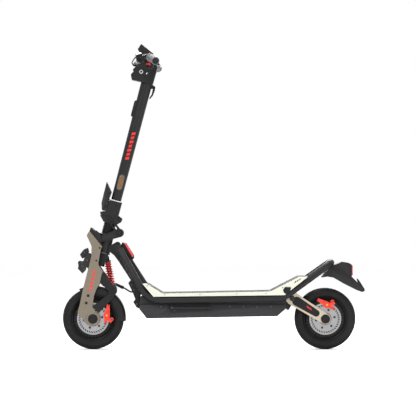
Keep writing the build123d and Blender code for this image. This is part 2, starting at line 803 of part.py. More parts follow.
BOOT_START = 523.0
with BuildPart() as column_boot:
    with BuildSketch(steer_plane(BOOT_START)):
        Circle(27)
        Circle(COLUMN_RADIUS + RUNNING_FIT, mode=Mode.SUBTRACT)
    extrude(amount=48)
    for ridge in range(4):
        with BuildSketch(steer_plane(BOOT_START + 7 + 11 * ridge)):
            Circle(28)
            Circle(25, mode=Mode.SUBTRACT)
        extrude(amount=3, mode=Mode.SUBTRACT)
save(column_boot, "column_boot")

KNUCKLE_HALF_WIDTH = 28.0
LUG_RADIUS = 9.5
LUG_HALF_WIDTH = 15.5
FOLD_PIN_RADIUS = 5.0
LINK_PIN = 5.0
with BuildPart() as fold_base:
    with BuildSketch(side(0)):
        Polygon(*steer_outline((-29, 572), (29, 572), (46, 589), (46, 599.5), (-50, 599.5), (-50, 594)))
    extrude(amount=KNUCKLE_HALF_WIDTH, both=True)
    with BuildSketch(side(0)):
        with Locations(FOLD_PIN):
            Circle(LUG_RADIUS)
    extrude(amount=KNUCKLE_HALF_WIDTH, both=True)
    with BuildSketch(side(0)):
        with Locations(FOLD_PIN):
            Circle(15)
    extrude(amount=LUG_HALF_WIDTH + 0.3, both=True, mode=Mode.SUBTRACT)
    with BuildSketch(steer_plane(571)):
        Circle(COLUMN_RADIUS)
    extrude(amount=COLUMN_TOP - 571, mode=Mode.SUBTRACT)
    with BuildSketch(side(0)):
        with Locations(FOLD_PIN):
            Circle(FOLD_PIN_RADIUS)
    extrude(amount=KNUCKLE_HALF_WIDTH + 2, both=True)
    for near_face in (-KNUCKLE_HALF_WIDTH, KNUCKLE_HALF_WIDTH + 8):
        with BuildSketch(side(near_face)):
            with Locations(LINK_TOP_PIVOT):
                Circle(LINK_PIN)
        extrude(amount=8)
save(fold_base, "fold_base")

# Torque link: it keeps the sliding fork in line with the column. The lower half is on
# the fork, the upper half on the column, and they meet at the knee.
LOWER_LINK_INNER = 34.0
LOWER_LINK_OUTER = 43.0
UPPER_LINK_INNER = 28.5
UPPER_LINK_OUTER = 33.5
KNEE_CLEARANCE = 1.2
with BuildPart() as torque_link_lower:
    with BuildSketch(side(-LOWER_LINK_INNER)):
        with Locations(LINK_BOTTOM_PIVOT):
            Circle(12)
        with Locations(KNEE):
            Circle(18.5)
        make_hull()
    extrude(amount=LOWER_LINK_OUTER - LOWER_LINK_INNER)
    with BuildSketch(side(-LOWER_LINK_INNER)):
        with Locations(LINK_BOTTOM_PIVOT):
            Circle(PIVOT_PIN - RUNNING_FIT)
    extrude(amount=LEG_INNER - 0.5 - LOWER_LINK_INNER)
    mirror(about=Plane.XZ)
    with BuildSketch(side(0)):
        with Locations(KNEE):
            Circle(LINK_PIN)
    extrude(amount=LOWER_LINK_OUTER + 3, both=True)
save(torque_link_lower, "torque_link_lower")

with BuildPart() as torque_link_upper:
    with BuildSketch(side(-UPPER_LINK_INNER)):
        with Locations(LINK_TOP_PIVOT):
            Circle(9)
        with Locations(KNEE):
            Circle(13)
        make_hull()
        with Locations(LINK_TOP_PIVOT):
            Circle(LINK_PIN + RUNNING_FIT, mode=Mode.SUBTRACT)
        with Locations(KNEE):
            Circle(LINK_PIN + KNEE_CLEARANCE, mode=Mode.SUBTRACT)
        with Locations(((LINK_TOP_PIVOT[0] + KNEE[0]) / 2, (LINK_TOP_PIVOT[1] + KNEE[1]) / 2)):
            SlotOverall(44, 8, rotation=-54.14, mode=Mode.SUBTRACT)
    extrude(amount=UPPER_LINK_OUTER - UPPER_LINK_INNER)
    mirror(about=Plane.XZ)
    with BuildSketch(side(0)):
        with Locations(KNEE):
            Circle(LINK_PIN + KNEE_CLEARANCE + 3)
            Circle(LINK_PIN + KNEE_CLEARANCE, mode=Mode.SUBTRACT)
    extrude(amount=UPPER_LINK_INNER, both=True)
save(torque_link_upper, "torque_link_upper")

# =====================================================================================
# Stem
# =====================================================================================
STEM_START = 640.0
STEM_END = 1235.0
STEM_RADIUS_LOW = 22.4
STEM_RADIUS_HIGH = 25.5
with BuildPart() as stem_solid:
    with BuildSketch(steer_plane(STEM_START)):
        Circle(STEM_RADIUS_LOW)
    with BuildSketch(steer_plane(STEM_END)):
        Circle(STEM_RADIUS_HIGH)
    loft()

HOOK_MOUNT_T = 1199.0
with BuildPart() as stem_tube:
    add(stem_solid.part)
    with BuildSketch(side(0)):
        Polygon(*steer_outline((20, 1188), (34, 1193), (42, 1196), (42, 1202), (34, 1207), (20, 1208)))
    extrude(amount=12, both=True)
    with BuildSketch(side(0)):
        with Locations(steer_point(36, HOOK_MOUNT_T)):
            Circle(7.5)
        Polygon(*steer_outline((26.5, 1180), (50, 1180), (50, 1207), (34, 1207), (29, 1200)))
    extrude(amount=7, both=True, mode=Mode.SUBTRACT)
    with BuildSketch(side(0)):
        with Locations(steer_point(36, HOOK_MOUNT_T)):
            Circle(3)
    extrude(amount=12, both=True)
    with BuildSketch(steer_plane(STEM_START - 1)):
        Circle(STEM_RADIUS_LOW - HOUSING_WALL)
    extrude(amount=STEM_END - STEM_START - 3, mode=Mode.SUBTRACT)
    with BuildSketch(side(0)):
        Polygon(*steer_outline((-20, 1050), (-32, 1052), (-32, 1123), (-20, 1125)))
    extrude(amount=14, both=True)
    with BuildSketch(steer_plane(STEM_START)):
        Circle(STEM_RADIUS_LOW - HOUSING_WALL)
    extrude(amount=STEM_END - STEM_START - 3, mode=Mode.SUBTRACT)
save(stem_tube, "stem_tube")

with BuildPart() as fold_knuckle:
    with BuildSketch(side(0)):
        Polygon(*steer_outline(
            (-50, 600.5), (27.5, 600.5), (28, 672), (-27, 672), (-27.5, 616), (-44, 616), (-55, 610),
        ))
    extrude(amount=KNUCKLE_HALF_WIDTH, both=True)
    with BuildSketch(side(0)):
        Polygon(*steer_outline((20, 601), (38, 600.5), (38, 609.5), (20, 618)))
        with Locations(FOLD_PIN):
            Circle(LUG_RADIUS)
    extrude(amount=LUG_HALF_WIDTH, both=True)
    with BuildSketch(side(0)):
        Polygon(*steer_outline((-26, 619), (-43, 621), (-43, 639), (-26, 641)))
        with Locations(LEVER_PIVOT):
            Circle(10)
    extrude(amount=14, both=True)
    with BuildSketch(side(0)):
        with Locations(FOLD_PIN):
            Circle(FOLD_PIN_RADIUS + RUNNING_FIT)
    extrude(amount=LUG_HALF_WIDTH + 1, both=True, mode=Mode.SUBTRACT)
    with BuildSketch(side(0)):
        with Locations(LEVER_PIVOT):
            Circle(PIVOT_PIN)
    extrude(amount=25, both=True)
    with BuildSketch(steer_plane(672)):
        Rectangle(58, 58)
    extrude(amount=4)
    add(stem_solid.part, mode=Mode.SUBTRACT)
save(fold_knuckle, "fold_knuckle")

with BuildPart() as fold_lever:
    with BuildSketch(side(0)):
        Polygon(*steer_outline(
            (-60, 746), (-27.5, 707), (-30.5, 676), (-30.5, 630), (-52.5, 630), (-59, 650), (-59.5, 676),
        ))
        with Locations(LEVER_PIVOT):
            Circle(11.5)
    extrude(amount=24, both=True)
    with BuildSketch(side(0)):
        Polygon(*steer_outline((-70, 610), (-20, 610), (-20, 648), (-70, 648)))
    extrude(amount=14.4, both=True, mode=Mode.SUBTRACT)
    with BuildSketch(side(0)):
        with Locations(LEVER_PIVOT):
            Circle(PIVOT_PIN + RUNNING_FIT)
    extrude(amount=25, both=True, mode=Mode.SUBTRACT)
save(fold_lever, "fold_lever")

# Handlebar: a straight clamped middle, then each end bends back and down.
BAR_RADIUS = 11.1
BAR_SLEEVE_RADIUS = 15.9
BAR_SLEEVE_HALF = 55.0
BAR_TIP = Vector(-251, -BAR_HALF_WIDTH, 1252)
BAR_BEND = Vector(-280, -165, 1277)
BAR_SHOULDER = Vector(-291, -62, 1276)
BAR_CENTRE = (-291.0, 1276.0)


def right_of(point):
    return Vector(point.X, -point.Y, point.Z)


with BuildPart() as handlebar:
    with BuildLine() as bar_path:
        FilletPolyline(
            BAR_TIP, BAR_BEND, BAR_SHOULDER,
            right_of(BAR_SHOULDER), right_of(BAR_BEND), right_of(BAR_TIP),
            radius=60,
        )
    with BuildSketch(Plane(origin=bar_path.line @ 0, z_dir=bar_path.line % 0)):
        Circle(BAR_RADIUS)
    sweep()
    with BuildSketch(side(0)):
        with Locations(BAR_CENTRE):
            Circle(BAR_SLEEVE_RADIUS)
    extrude(amount=BAR_SLEEVE_HALF, both=True)
save(handlebar, "handlebar")

BAR_DIRECTION = (BAR_BEND - BAR_TIP).normalized()
GRIP_LENGTH = 122.0
with BuildPart() as grips:
    with BuildSketch(Plane(origin=BAR_TIP - BAR_DIRECTION * 4, z_dir=BAR_DIRECTION)):
        Circle(17.5)
    extrude(amount=6)
    with BuildSketch(Plane(origin=BAR_TIP, z_dir=BAR_DIRECTION)):
        Circle(16)
    extrude(amount=GRIP_LENGTH)
    with BuildSketch(Plane(origin=BAR_TIP + BAR_DIRECTION * (GRIP_LENGTH - 4), z_dir=BAR_DIRECTION)):
        Circle(18)
    extrude(amount=4)
    mirror(about=Plane.XZ)
    add(handlebar.part, mode=Mode.SUBTRACT)
save(grips, "grips")

# Display on top of the head, facing up and back towards the rider.
with BuildPart() as display_housing:
    with BuildSketch(side(0)):
        Polygon((-318, 1341), (-333.5, 1318), (-326, 1305), (-300, 1295.5), (-281, 1293), (-262, 1296))
    extrude(amount=44, both=True)
    fillet(display_housing.edges().filter_by(Axis.Y), 1.5)
    with BuildSketch(Plane(origin=(-274.4, 0, 1307.2), x_dir=(0, 1, 0), z_dir=(45, 0, 56))):
        Circle(7.5)
    extrude(amount=-5.5, mode=Mode.SUBTRACT)
save(display_housing, "display_housing")

# Head: the light housing that the stem and the bar clamp into.
HEAD_OUTLINE = [
    (-324, 1303),
    (-338, 1263),
    (-348, 1253),
    (-342, 1243),
    (-355.5, 1230),
    (-352.5, 1220),
    (-364, 1208),
    (-360, 1184),
    (-322, 1177),
    (-268, 1164),
    (-246, 1240),
    (-252, 1262),
    (-268, 1290),
    (-296, 1297),
]
with BuildPart() as stem_head:
    with BuildSketch(side(0)):
        Polygon(*HEAD_OUTLINE)
    extrude(amount=37, both=True)
    chamfer(stem_head.edges().group_by(Axis.Y)[0], 2)
    chamfer(stem_head.edges().group_by(Axis.Y)[-1], 2)
    with BuildSketch(side(0)):
        with Locations(BAR_CENTRE):
            Circle(BAR_SLEEVE_RADIUS)
    extrude(amount=40, both=True, mode=Mode.SUBTRACT)
    add(stem_solid.part, mode=Mode.SUBTRACT)
    add(display_housing.part, mode=Mode.SUBTRACT)
save(stem_head, "stem_head")

# Brake masters: each has a ring on the bar, a body, a reservoir and the lever's pin.
BAR_FORWARD = Vector(-1, 0, -0.22)
BAR_FORWARD = (BAR_FORWARD - BAR_DIRECTION * BAR_FORWARD.dot(BAR_DIRECTION)).normalized()
BAR_OUTWARD = BAR_DIRECTION * -1
LEVER_UP = BAR_FORWARD.cross(BAR_OUTWARD)
MASTER_CENTRE = BAR_TIP + BAR_DIRECTION * 131
LEVER_PIN = (-4.0, -50.0)
LEVER_HALF_HEIGHT = 4.0
LEVER_PIN_RADIUS = 3.0


def lever_plane(height):
    """Plane of the left brake lever: local x outwards along the bar, local y rearwards."""
    return Plane(origin=MASTER_CENTRE + LEVER_UP * height, x_dir=BAR_OUTWARD, z_dir=LEVER_UP)


with BuildPart() as brake_masters:
    with BuildSketch(Plane(origin=BAR_TIP + BAR_DIRECTION * 125, z_dir=BAR_DIRECTION)):
        Circle(17)
    extrude(amount=12)
    with BuildSketch(lever_plane(LEVER_HALF_HEIGHT + 0.4)):
        Polygon((-34, -58), (6, -60), (8, -12), (-6, -8), (-34, -30))
    extrude(amount=11)
    with BuildSketch(lever_plane(LEVER_HALF_HEIGHT + 11)):
        with Locations((-18, -42)):
            RectangleRounded(34, 26, 4)
    extrude(amount=9)
    with BuildSketch(lever_plane(-LEVER_HALF_HEIGHT - 3)):
        with Locations(LEVER_PIN):
            Circle(LEVER_PIN_RADIUS)
    extrude(amount=12)
    mirror(about=Plane.XZ)
    add(handlebar.part, mode=Mode.SUBTRACT)
save(brake_masters, "brake_masters")

with BuildPart() as left_brake_lever:
    with BuildSketch(lever_plane(-LEVER_HALF_HEIGHT)):
        Polygon((-14, -58), (10, -62), (44, -76), (112, -76), (116, -64), (48, -65), (6, -42), (-10, -42))
        with Locations(LEVER_PIN):
            Circle(9)
        with Locations((113, -70)):
            Circle(6.5)
        with Locations(LEVER_PIN):
            Circle(LEVER_PIN_RADIUS + RUNNING_FIT, mode=Mode.SUBTRACT)
    extrude(amount=2 * LEVER_HALF_HEIGHT)
save(left_brake_lever, "left_brake_lever")

with BuildPart() as right_brake_lever:
    add(mirror(left_brake_lever.part, about=Plane.XZ, mode=Mode.PRIVATE))
save(right_brake_lever, "right_brake_lever")

# Controls inboard of the grips: the switch pod on the left, the throttle on the right.
POD_DIRECTION = (BAR_SHOULDER - BAR_BEND).normalized()
POD_FACE_Y = -152.0
with BuildPart() as control_pods:
    with BuildSketch(Plane(origin=BAR_BEND + POD_DIRECTION * 14, z_dir=POD_DIRECTION)):
        Circle(17)
    extrude(amount=16)
    with BuildSketch(side(POD_FACE_Y + 34)):
        Polygon((-301, 1262), (-300, 1232), (-290, 1226), (-266, 1228), (-261, 1244), (-265, 1266))
    extrude(amount=34)
    with BuildSketch(side(POD_FACE_Y + 1)):
        with Locations((-285, 1249)):
            Rectangle(22, 10)
        with Locations((-288, 1237)):
            Circle(4.6)
    extrude(amount=-3, mode=Mode.SUBTRACT)
    with BuildSketch(side(POD_FACE_Y + 3)):
        with Locations((-285, 1249)):
            Rectangle(22, 10)
        with Locations((-288, 1237)):
            Circle(4.6)
    extrude(amount=5, mode=Mode.SUBTRACT)
    with BuildSketch(side(158)):
        with Locations((-281.5, 1277)):
            Circle(18)
    extrude(amount=14)
    add(handlebar.part, mode=Mode.SUBTRACT)
save(control_pods, "control_pods")

THROTTLE_CENTRE = right_of(BAR_BEND + POD_DIRECTION * 24)
THROTTLE_AXIS = Vector(POD_DIRECTION.X, -POD_DIRECTION.Y, POD_DIRECTION.Z)
with BuildPart() as throttle_lever:
    with BuildSketch(Plane(origin=THROTTLE_CENTRE, x_dir=(1, 0, 0), z_dir=THROTTLE_AXIS)):
        Circle(16)
        Polygon((2, 16), (26, -12), (42, -22), (46, -17), (32, -2), (14, 8))
        Circle(BAR_RADIUS + RUNNING_FIT, mode=Mode.SUBTRACT)
    extrude(amount=14)
save(throttle_lever, "throttle_lever")

# Switch that slides across the face of the pod, with a thin crossbar for the thumb.
with BuildPart() as pod_switch:
    with BuildSketch(side(POD_FACE_Y - 0.4)):
        with Locations((-285, 1247)):
            Rectangle(19, 5)
        with Locations((-291, 1249)):
            Rectangle(7, 7)
    extrude(amount=3.5)
    with BuildSketch(side(POD_FACE_Y + 2.7)):
        with Locations((-285, 1249)):
            Rectangle(10, 6)
    extrude(amount=3.6)
save(pod_switch, "pod_switch")

# Button at the foot of the display's face, pushed in against a spring.
BUTTON_RADIUS = 7.0
FACE_OUT = Vector(45, 0, 56).normalized()
BUTTON_SEAT = Vector(-275, 0, 1306.4)


def face_plane(height):
    return Plane(origin=BUTTON_SEAT + FACE_OUT * height, x_dir=(0, 1, 0), z_dir=FACE_OUT)


with BuildPart() as power_button:
    with BuildSketch(face_plane(-2.5)):
        Circle(BUTTON_RADIUS)
    extrude(amount=4)
save(power_button, "power_button")

# Folding bag hook on the back of the stem; its mount is part of the stem.
HOOK_PIVOT = steer_point(36, 1199)
with BuildPart() as bag_hook:
    with BuildSketch(side(0)):
        Polygon(*steer_outline(
            (32, 1199), (33, 1187), (33.5, 1168), (27.5, 1149), (30.5, 1143), (40, 1163), (43, 1187),
            (41, 1199),
        ))
        with Locations(HOOK_PIVOT):
            Circle(5.5)
            Circle(3 + RUNNING_FIT, mode=Mode.SUBTRACT)
    extrude(amount=6.5, both=True)
save(bag_hook, "bag_hook")

# =====================================================================================
# Suspension: coil-over shocks, the rear arm and its caliper
# =====================================================================================
SHAFT_RADIUS = 5.0


def make_shock(top, bottom, seat_radius, coil_radius, wire_radius, coils, body_end, eye_radius, eye_bore):
    """Body with the upper seat, shaft with the lower seat, and the coil spring between."""
    length = ((bottom[0] - top[0]) ** 2 + (bottom[1] - top[1]) ** 2) ** 0.5

    with BuildPart() as body:
        with BuildSketch(along_axis(top, bottom, 0)):
            Circle(coil_radius - wire_radius - 1.2)
        extrude(amount=body_end)
        with BuildSketch(along_axis(top, bottom, 20)):
            Circle(seat_radius)
        extrude(amount=4)
        with BuildSketch(side(0)):
            with Locations(top):
                Circle(8)
        extrude(amount=EYE_HALF_WIDTH, both=True)
        with BuildSketch(side(0)):
            with Locations(top):
                Circle(PIVOT_PIN + RUNNING_FIT)
        extrude(amount=EYE_HALF_WIDTH + 1, both=True, mode=Mode.SUBTRACT)
        with BuildSketch(along_axis(top, bottom, 14)):
            Circle(SHAFT_RADIUS + RUNNING_FIT)
        extrude(amount=length, mode=Mode.SUBTRACT)

    with BuildPart() as shaft:
        with BuildSketch(along_axis(top, bottom, body_end - 14)):
            Circle(SHAFT_RADIUS)
        extrude(amount=length - body_end + 12)
        with BuildSketch(along_axis(top, bottom, length - 21)):
            Circle(seat_radius)
        extrude(amount=4)
        with BuildSketch(side(0)):
            with Locations(bottom):
                Circle(eye_radius)
        extrude(amount=EYE_HALF_WIDTH, both=True)
        with BuildSketch(side(0)):
            with Locations(bottom):
                Circle(eye_bore)
        extrude(amount=EYE_HALF_WIDTH + 1, both=True, mode=Mode.SUBTRACT)

    height = length - 46 - 2 * wire_radius
    with BuildPart() as coil:
        with BuildLine():
            wire = Helix(pitch=height / coils, height=height, radius=coil_radius)
        with BuildSketch(Plane(origin=wire @ 0, z_dir=wire % 0)):
            Circle(wire_radius)
        sweep(is_frenet=True)
    with BuildPart() as spring:
        add(coil.part.moved(along_axis(top, bottom, 24.5 + wire_radius).location))
    return body, shaft, spring


FRONT_SHOCK = make_shock(FRONT_SHOCK_TOP, FRONT_SHOCK_BOTTOM, 16.5, 14, 2.5, 8, 84, 8.5, PIVOT_PIN + 1.5)
REAR_SHOCK = make_shock(REAR_SHOCK_FRONT, REAR_SHOCK_REAR, 14.5, 12.5, 2.3, 6, 74, 10, LINK_PIN + 1.0)
for shock_name, shock_parts in (("front", FRONT_SHOCK), ("rear", REAR_SHOCK)):
    for piece_name, piece in zip(("body", "shaft", "spring"), shock_parts):
        save(piece, f"{shock_name}_shock_{piece_name}")

ARM_PIVOT_RADIUS = 28.0
ARM_AXLE_RADIUS = 24.0
with BuildPart() as rear_swing_arm:
    with BuildSketch(side(-ARM_INNER)):
        with Locations(REAR_ARM_PIVOT):
            Circle(ARM_PIVOT_RADIUS)
        with Locations(REAR_AXLE):
            Circle(ARM_AXLE_RADIUS)
        make_hull()
    extrude(amount=ARM_OUTER - ARM_INNER)
    with BuildSketch(side(-ARM_INNER)):
        with Locations(REAR_ARM_PIVOT):
            Circle(24)
        with Locations(REAR_SHOCK_REAR):
            Circle(12)
        make_hull()
    extrude(amount=ARM_OUTER - ARM_INNER)
    with BuildSketch(side(-ARM_OUTER + 3)):
        with Locations((384, 200)):
            Circle(16)
        with Locations((447, 161.3)):
            Circle(14)
        make_hull()
    extrude(amount=3, mode=Mode.SUBTRACT)
    with BuildSketch(side(-ARM_INNER)):
        with Locations(REAR_ARM_PIVOT):
            Circle(PIVOT_BORE + RUNNING_FIT)
        with Locations(REAR_AXLE):
            Circle(AXLE_RADIUS)
    extrude(amount=ARM_OUTER - ARM_INNER, mode=Mode.SUBTRACT)
    mirror(about=Plane.XZ)
    with BuildSketch(side(0)):
        with Locations(REAR_SHOCK_REAR):
            Circle(LINK_PIN)
        with Locations((347, 259)):
            Circle(7)
    extrude(amount=ARM_INNER + 1, both=True)
save(rear_swing_arm, "rear_swing_arm")

with BuildPart() as rear_caliper:
    add(make_caliper(REAR_AXLE, 69.4).part)
    add(rear_swing_arm.part, mode=Mode.SUBTRACT)
save(rear_caliper, "rear_caliper")

# Front motor's lead, from the back of the column to the nose cover, with its plug in it.
PLUG_Y = 28.0
with BuildPart() as motor_cable:
    with BuildLine() as cable_path:
        Spline(
            (-480, 24, 403), (-474, 39, 372), (-463, 41, 335), (-453, 34, 303), (-441, PLUG_Y, 288),
            (-396, PLUG_Y, 268), (-368, PLUG_Y, 252), (-346, PLUG_Y, 250),
        )
    with BuildSketch(Plane(origin=cable_path.line @ 0, z_dir=cable_path.line % 0)):
        Circle(3)
    sweep()
    with BuildSketch(Plane(origin=(-441, PLUG_Y, 288), x_dir=(0, 1, 0), z_dir=(45, 0, -20))):
        Circle(7)
    extrude(amount=49)
    add(nose_cover.part, mode=Mode.SUBTRACT)
    add(steering_column.part, mode=Mode.SUBTRACT)
save(motor_cable, "motor_cable")
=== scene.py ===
import json
from math import atan2, cos, pi, radians, sin, sqrt

import bmesh
import bpy
from mathutils import Matrix, Vector


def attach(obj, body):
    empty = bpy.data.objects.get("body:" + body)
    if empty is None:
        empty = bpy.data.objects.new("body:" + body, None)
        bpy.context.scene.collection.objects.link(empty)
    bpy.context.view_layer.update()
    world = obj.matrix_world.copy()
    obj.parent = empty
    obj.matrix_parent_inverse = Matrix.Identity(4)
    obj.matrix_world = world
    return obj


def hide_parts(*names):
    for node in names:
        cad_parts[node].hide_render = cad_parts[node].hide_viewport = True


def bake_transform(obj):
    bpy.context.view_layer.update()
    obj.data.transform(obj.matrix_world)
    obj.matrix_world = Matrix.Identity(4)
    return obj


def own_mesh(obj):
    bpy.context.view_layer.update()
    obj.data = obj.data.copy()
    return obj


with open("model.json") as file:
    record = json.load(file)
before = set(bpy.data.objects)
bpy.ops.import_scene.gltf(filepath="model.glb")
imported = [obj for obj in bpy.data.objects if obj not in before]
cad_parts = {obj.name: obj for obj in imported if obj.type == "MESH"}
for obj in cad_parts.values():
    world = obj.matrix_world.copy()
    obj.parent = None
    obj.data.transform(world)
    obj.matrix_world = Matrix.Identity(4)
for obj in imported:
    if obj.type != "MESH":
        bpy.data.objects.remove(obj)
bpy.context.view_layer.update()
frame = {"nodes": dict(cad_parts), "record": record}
nodes = frame["nodes"]
node_body = {}
for body_name, members in frame["record"]["behaviour"]["bodies"].items():
    for member in members:
        node_body[member] = body_name
node_slot = {s["node"]: s["material_slot"] for s in frame["record"]["subparts"]}

MM = 0.001
TILT_SIN = sin(radians(14.63))
TILT_COS = cos(radians(14.63))
FRONT_AXLE = Vector((-529.3, 0, 135)) * MM
REAR_AXLE = Vector((489.5, 0, 135)) * MM


def steer(behind, along, y=0.0):
    """Point at a distance behind the steering axis and along it from the ground, in mm."""
    x = -600.4 + behind * TILT_COS + along * TILT_SIN
    z = -behind * TILT_SIN + along * TILT_COS
    return Vector((x, y, z)) * MM


STEER_UP = Vector((TILT_SIN, 0, TILT_COS))
STEER_BACK = Vector((TILT_COS, 0, -TILT_SIN))
RIGHT = Vector((0, 1, 0))


# ---------------------------------------------------------------------------------------
# Materials
# ---------------------------------------------------------------------------------------
class Graph:
    """A material's node tree, with one call to add a node and one to join two sockets."""

    def __init__(self, name):
        self.material = bpy.data.materials.new(name)
        self.material.use_nodes = True
        self.tree = self.material.node_tree
        self.tree.nodes.clear()
        self.out = self.add("ShaderNodeOutputMaterial")
        self.shader = self.add("ShaderNodeBsdfPrincipled")
        self.link(self.shader, "BSDF", self.out, "Surface")
        self.coords = self.add("ShaderNodeTexCoord")

    def add(self, kind, **settings):
        node = self.tree.nodes.new(kind)
        for key, value in settings.items():
            if key in node.inputs:
                node.inputs[key].default_value = value
            else:
                setattr(node, key, value)
        return node

    def link(self, a, out_name, b, in_name):
        self.tree.links.new(a.outputs[out_name], b.inputs[in_name])

    def noise(self, scale, detail=3.0, rough=0.55, stretch=None):
        node = self.add("ShaderNodeTexNoise", Scale=scale, Detail=detail, Roughness=rough)
        if stretch is None:
            self.link(self.coords, "Object", node, "Vector")
        else:
            mapping = self.add("ShaderNodeMapping", Scale=stretch)
            self.link(self.coords, "Object", mapping, "Vector")
            self.link(mapping, "Vector", node, "Vector")
        return node

    def ramp(self, source, out_name, low, high, low_value, high_value):
        node = self.add("ShaderNodeMapRange")
        node.inputs["From Min"].default_value = low
        node.inputs["From Max"].default_value = high
        node.inputs["To Min"].default_value = low_value
        node.inputs["To Max"].default_value = high_value
        self.link(source, out_name, node, "Value")
        return node

    def mix(self, factor, factor_out, a, b):
        """Mixes two colours, or a colour over another node's colour, by a factor."""
        node = self.add("ShaderNodeMix", data_type="RGBA")
        if factor is None:
            node.inputs[0].default_value = 0.5
        else:
            self.tree.links.new(factor.outputs[factor_out], node.inputs[0])
        for socket, value in ((node.inputs[6], a), (node.inputs[7], b)):
            if isinstance(value, tuple):
                socket.default_value = (*value, 1.0)
            else:
                self.tree.links.new(value.outputs[2], socket)
        return node

    def colour(self, mixed):
        self.tree.links.new(mixed.outputs[2], self.shader.inputs["Base Color"])

    def set(self, **values):
        for key, value in values.items():
            self.shader.inputs[key.replace("_", " ")].default_value = value


def tint(rgb, factor):
    return tuple(min(1.0, c * factor) for c in rgb)


def surface(
    name, rgb, rough, metallic=0.0, spread=0.10, grain=900.0, bump=0.12, depth=0.00012,
    wear=None, wear_amount=0.5, dust=0.0, coat=0.0, brushed=None, specular=0.5,
):
    """Paint, plastic, rubber or metal with cloudy colour, fine grain and worn edges."""
    g = Graph(name)
    clouds = g.noise(14.0, 4.0)
    shade = g.ramp(clouds, "Fac", 0.3, 0.7, 0.0, 1.0)
    colour = g.mix(shade, "Result", tint(rgb, 1 - spread), tint(rgb, 1 + spread))
    if wear is not None:
        geometry = g.add("ShaderNodeNewGeometry")
        scratch = g.noise(180.0, 5.0, 0.7)
        edge = g.ramp(geometry, "Pointiness", 0.525, 0.60, 0.0, wear_amount)
        broken = g.add("ShaderNodeMath", operation="MULTIPLY")
        patch = g.ramp(scratch, "Fac", 0.35, 0.6, 0.2, 1.0)
        g.tree.links.new(edge.outputs["Result"], broken.inputs[0])
        g.tree.links.new(patch.outputs["Result"], broken.inputs[1])
        worn = g.add("ShaderNodeMix", data_type="RGBA")
        g.tree.links.new(broken.outputs[0], worn.inputs[0])
        g.tree.links.new(colour.outputs[2], worn.inputs[6])
        worn.inputs[7].default_value = (*wear, 1.0)
        colour = worn
    if dust:
        film = g.noise(5.0, 6.0, 0.65)
        film_mask = g.ramp(film, "Fac", 0.45, 0.75, 0.0, dust)
        dusted = g.add("ShaderNodeMix", data_type="RGBA")
        g.tree.links.new(film_mask.outputs["Result"], dusted.inputs[0])
        g.tree.links.new(colour.outputs[2], dusted.inputs[6])
        dusted.inputs[7].default_value = (0.30, 0.29, 0.27, 1.0)
        colour = dusted
    g.colour(colour)
    stretch = brushed if brushed is not None else (1.0, 1.0, 1.0)
    fine = g.noise(grain, 3.0, 0.6, stretch)
    rough_map = g.ramp(fine, "Fac", 0.25, 0.75, rough * 0.82, min(1.0, rough * 1.18))
    g.link(rough_map, "Result", g.shader, "Roughness")
    relief = g.add("ShaderNodeBump", Strength=bump, Distance=depth)
    g.link(fine, "Fac", relief, "Height")
    g.link(relief, "Normal", g.shader, "Normal")
    g.set(Metallic=metallic)
    g.shader.inputs["Specular IOR Level"].default_value = specular
    if coat:
        g.shader.inputs["Coat Weight"].default_value = coat
        g.shader.inputs["Coat Roughness"].default_value = 0.12
    return g.material


def glowing(name, rgb, rough, strength, ribs):
    """Lens plastic with fine moulded ribs and a little light of its own."""
    g = Graph(name)
    clouds = g.noise(60.0, 2.0)
    shade = g.ramp(clouds, "Fac", 0.3, 0.7, 0.0, 1.0)
    g.colour(g.mix(shade, "Result", tint(rgb, 0.82), tint(rgb, 1.15)))
    wave = g.add("ShaderNodeTexWave", Scale=ribs, Distortion=0.0, bands_direction="Z")
    g.link(g.coords, "Object", wave, "Vector")
    relief = g.add("ShaderNodeBump", Strength=0.35, Distance=0.0005)
    g.link(wave, "Fac", relief, "Height")
    g.link(relief, "Normal", g.shader, "Normal")
    g.set(Roughness=rough)
    g.shader.inputs["Coat Weight"].default_value = 0.6
    g.shader.inputs["Coat Roughness"].default_value = 0.08
    g.shader.inputs["Emission Color"].default_value = (*rgb, 1.0)
    g.shader.inputs["Emission Strength"].default_value = strength
    return g.material


CHARCOAL = surface(
    "charcoal_paint", (0.0078, 0.0080, 0.0087), 0.42, 0.0, 0.08, 700, 0.10,
    wear=(0.04, 0.04, 0.043), wear_amount=0.5, specular=0.18,
)
BRONZE = surface(
    "bronze_paint", (0.126, 0.103, 0.075), 0.38, 0.30, 0.06, 1100, 0.10,
    wear=(0.32, 0.28, 0.22), wear_amount=0.5, coat=0.2,
)
CHAMPAGNE = surface(
    "champagne_paint", (0.36, 0.305, 0.230), 0.32, 0.45, 0.05, 1100, 0.10,
    wear=(0.68, 0.64, 0.58), wear_amount=0.5, coat=0.2,
)
IVORY = surface(
    "ivory_paint", (0.455, 0.46, 0.385), 0.42, 0.0, 0.04, 800, 0.08,
    wear=(0.34, 0.34, 0.30), wear_amount=0.35, coat=0.1,
)
GREY_METAL = surface(
    "grey_metal", (0.060, 0.061, 0.064), 0.38, 0.4, 0.08, 900, 0.12,
    wear=(0.35, 0.35, 0.36), wear_amount=0.6,
)
ALUMINIUM = surface(
    "machined_aluminium", (0.58, 0.58, 0.59), 0.30, 1.0, 0.06, 500, 0.10, brushed=(1, 8, 1),
)
DISC_STEEL = surface(
    "disc_steel", (0.27, 0.27, 0.275), 0.30, 1.0, 0.07, 600, 0.14, brushed=(1, 0.2, 1),
    wear=(0.60, 0.60, 0.60), wear_amount=0.4,
)
BEARING_STEEL = surface("bearing_steel", (0.50, 0.50, 0.51), 0.16, 1.0, 0.05, 400, 0.04)
SPRING_RED = surface(
    "spring_red", (0.46, 0.004, 0.003), 0.30, 0.0, 0.10, 700, 0.08,
    wear=(0.60, 0.06, 0.05), wear_amount=0.4, coat=0.2, specular=0.4,
)
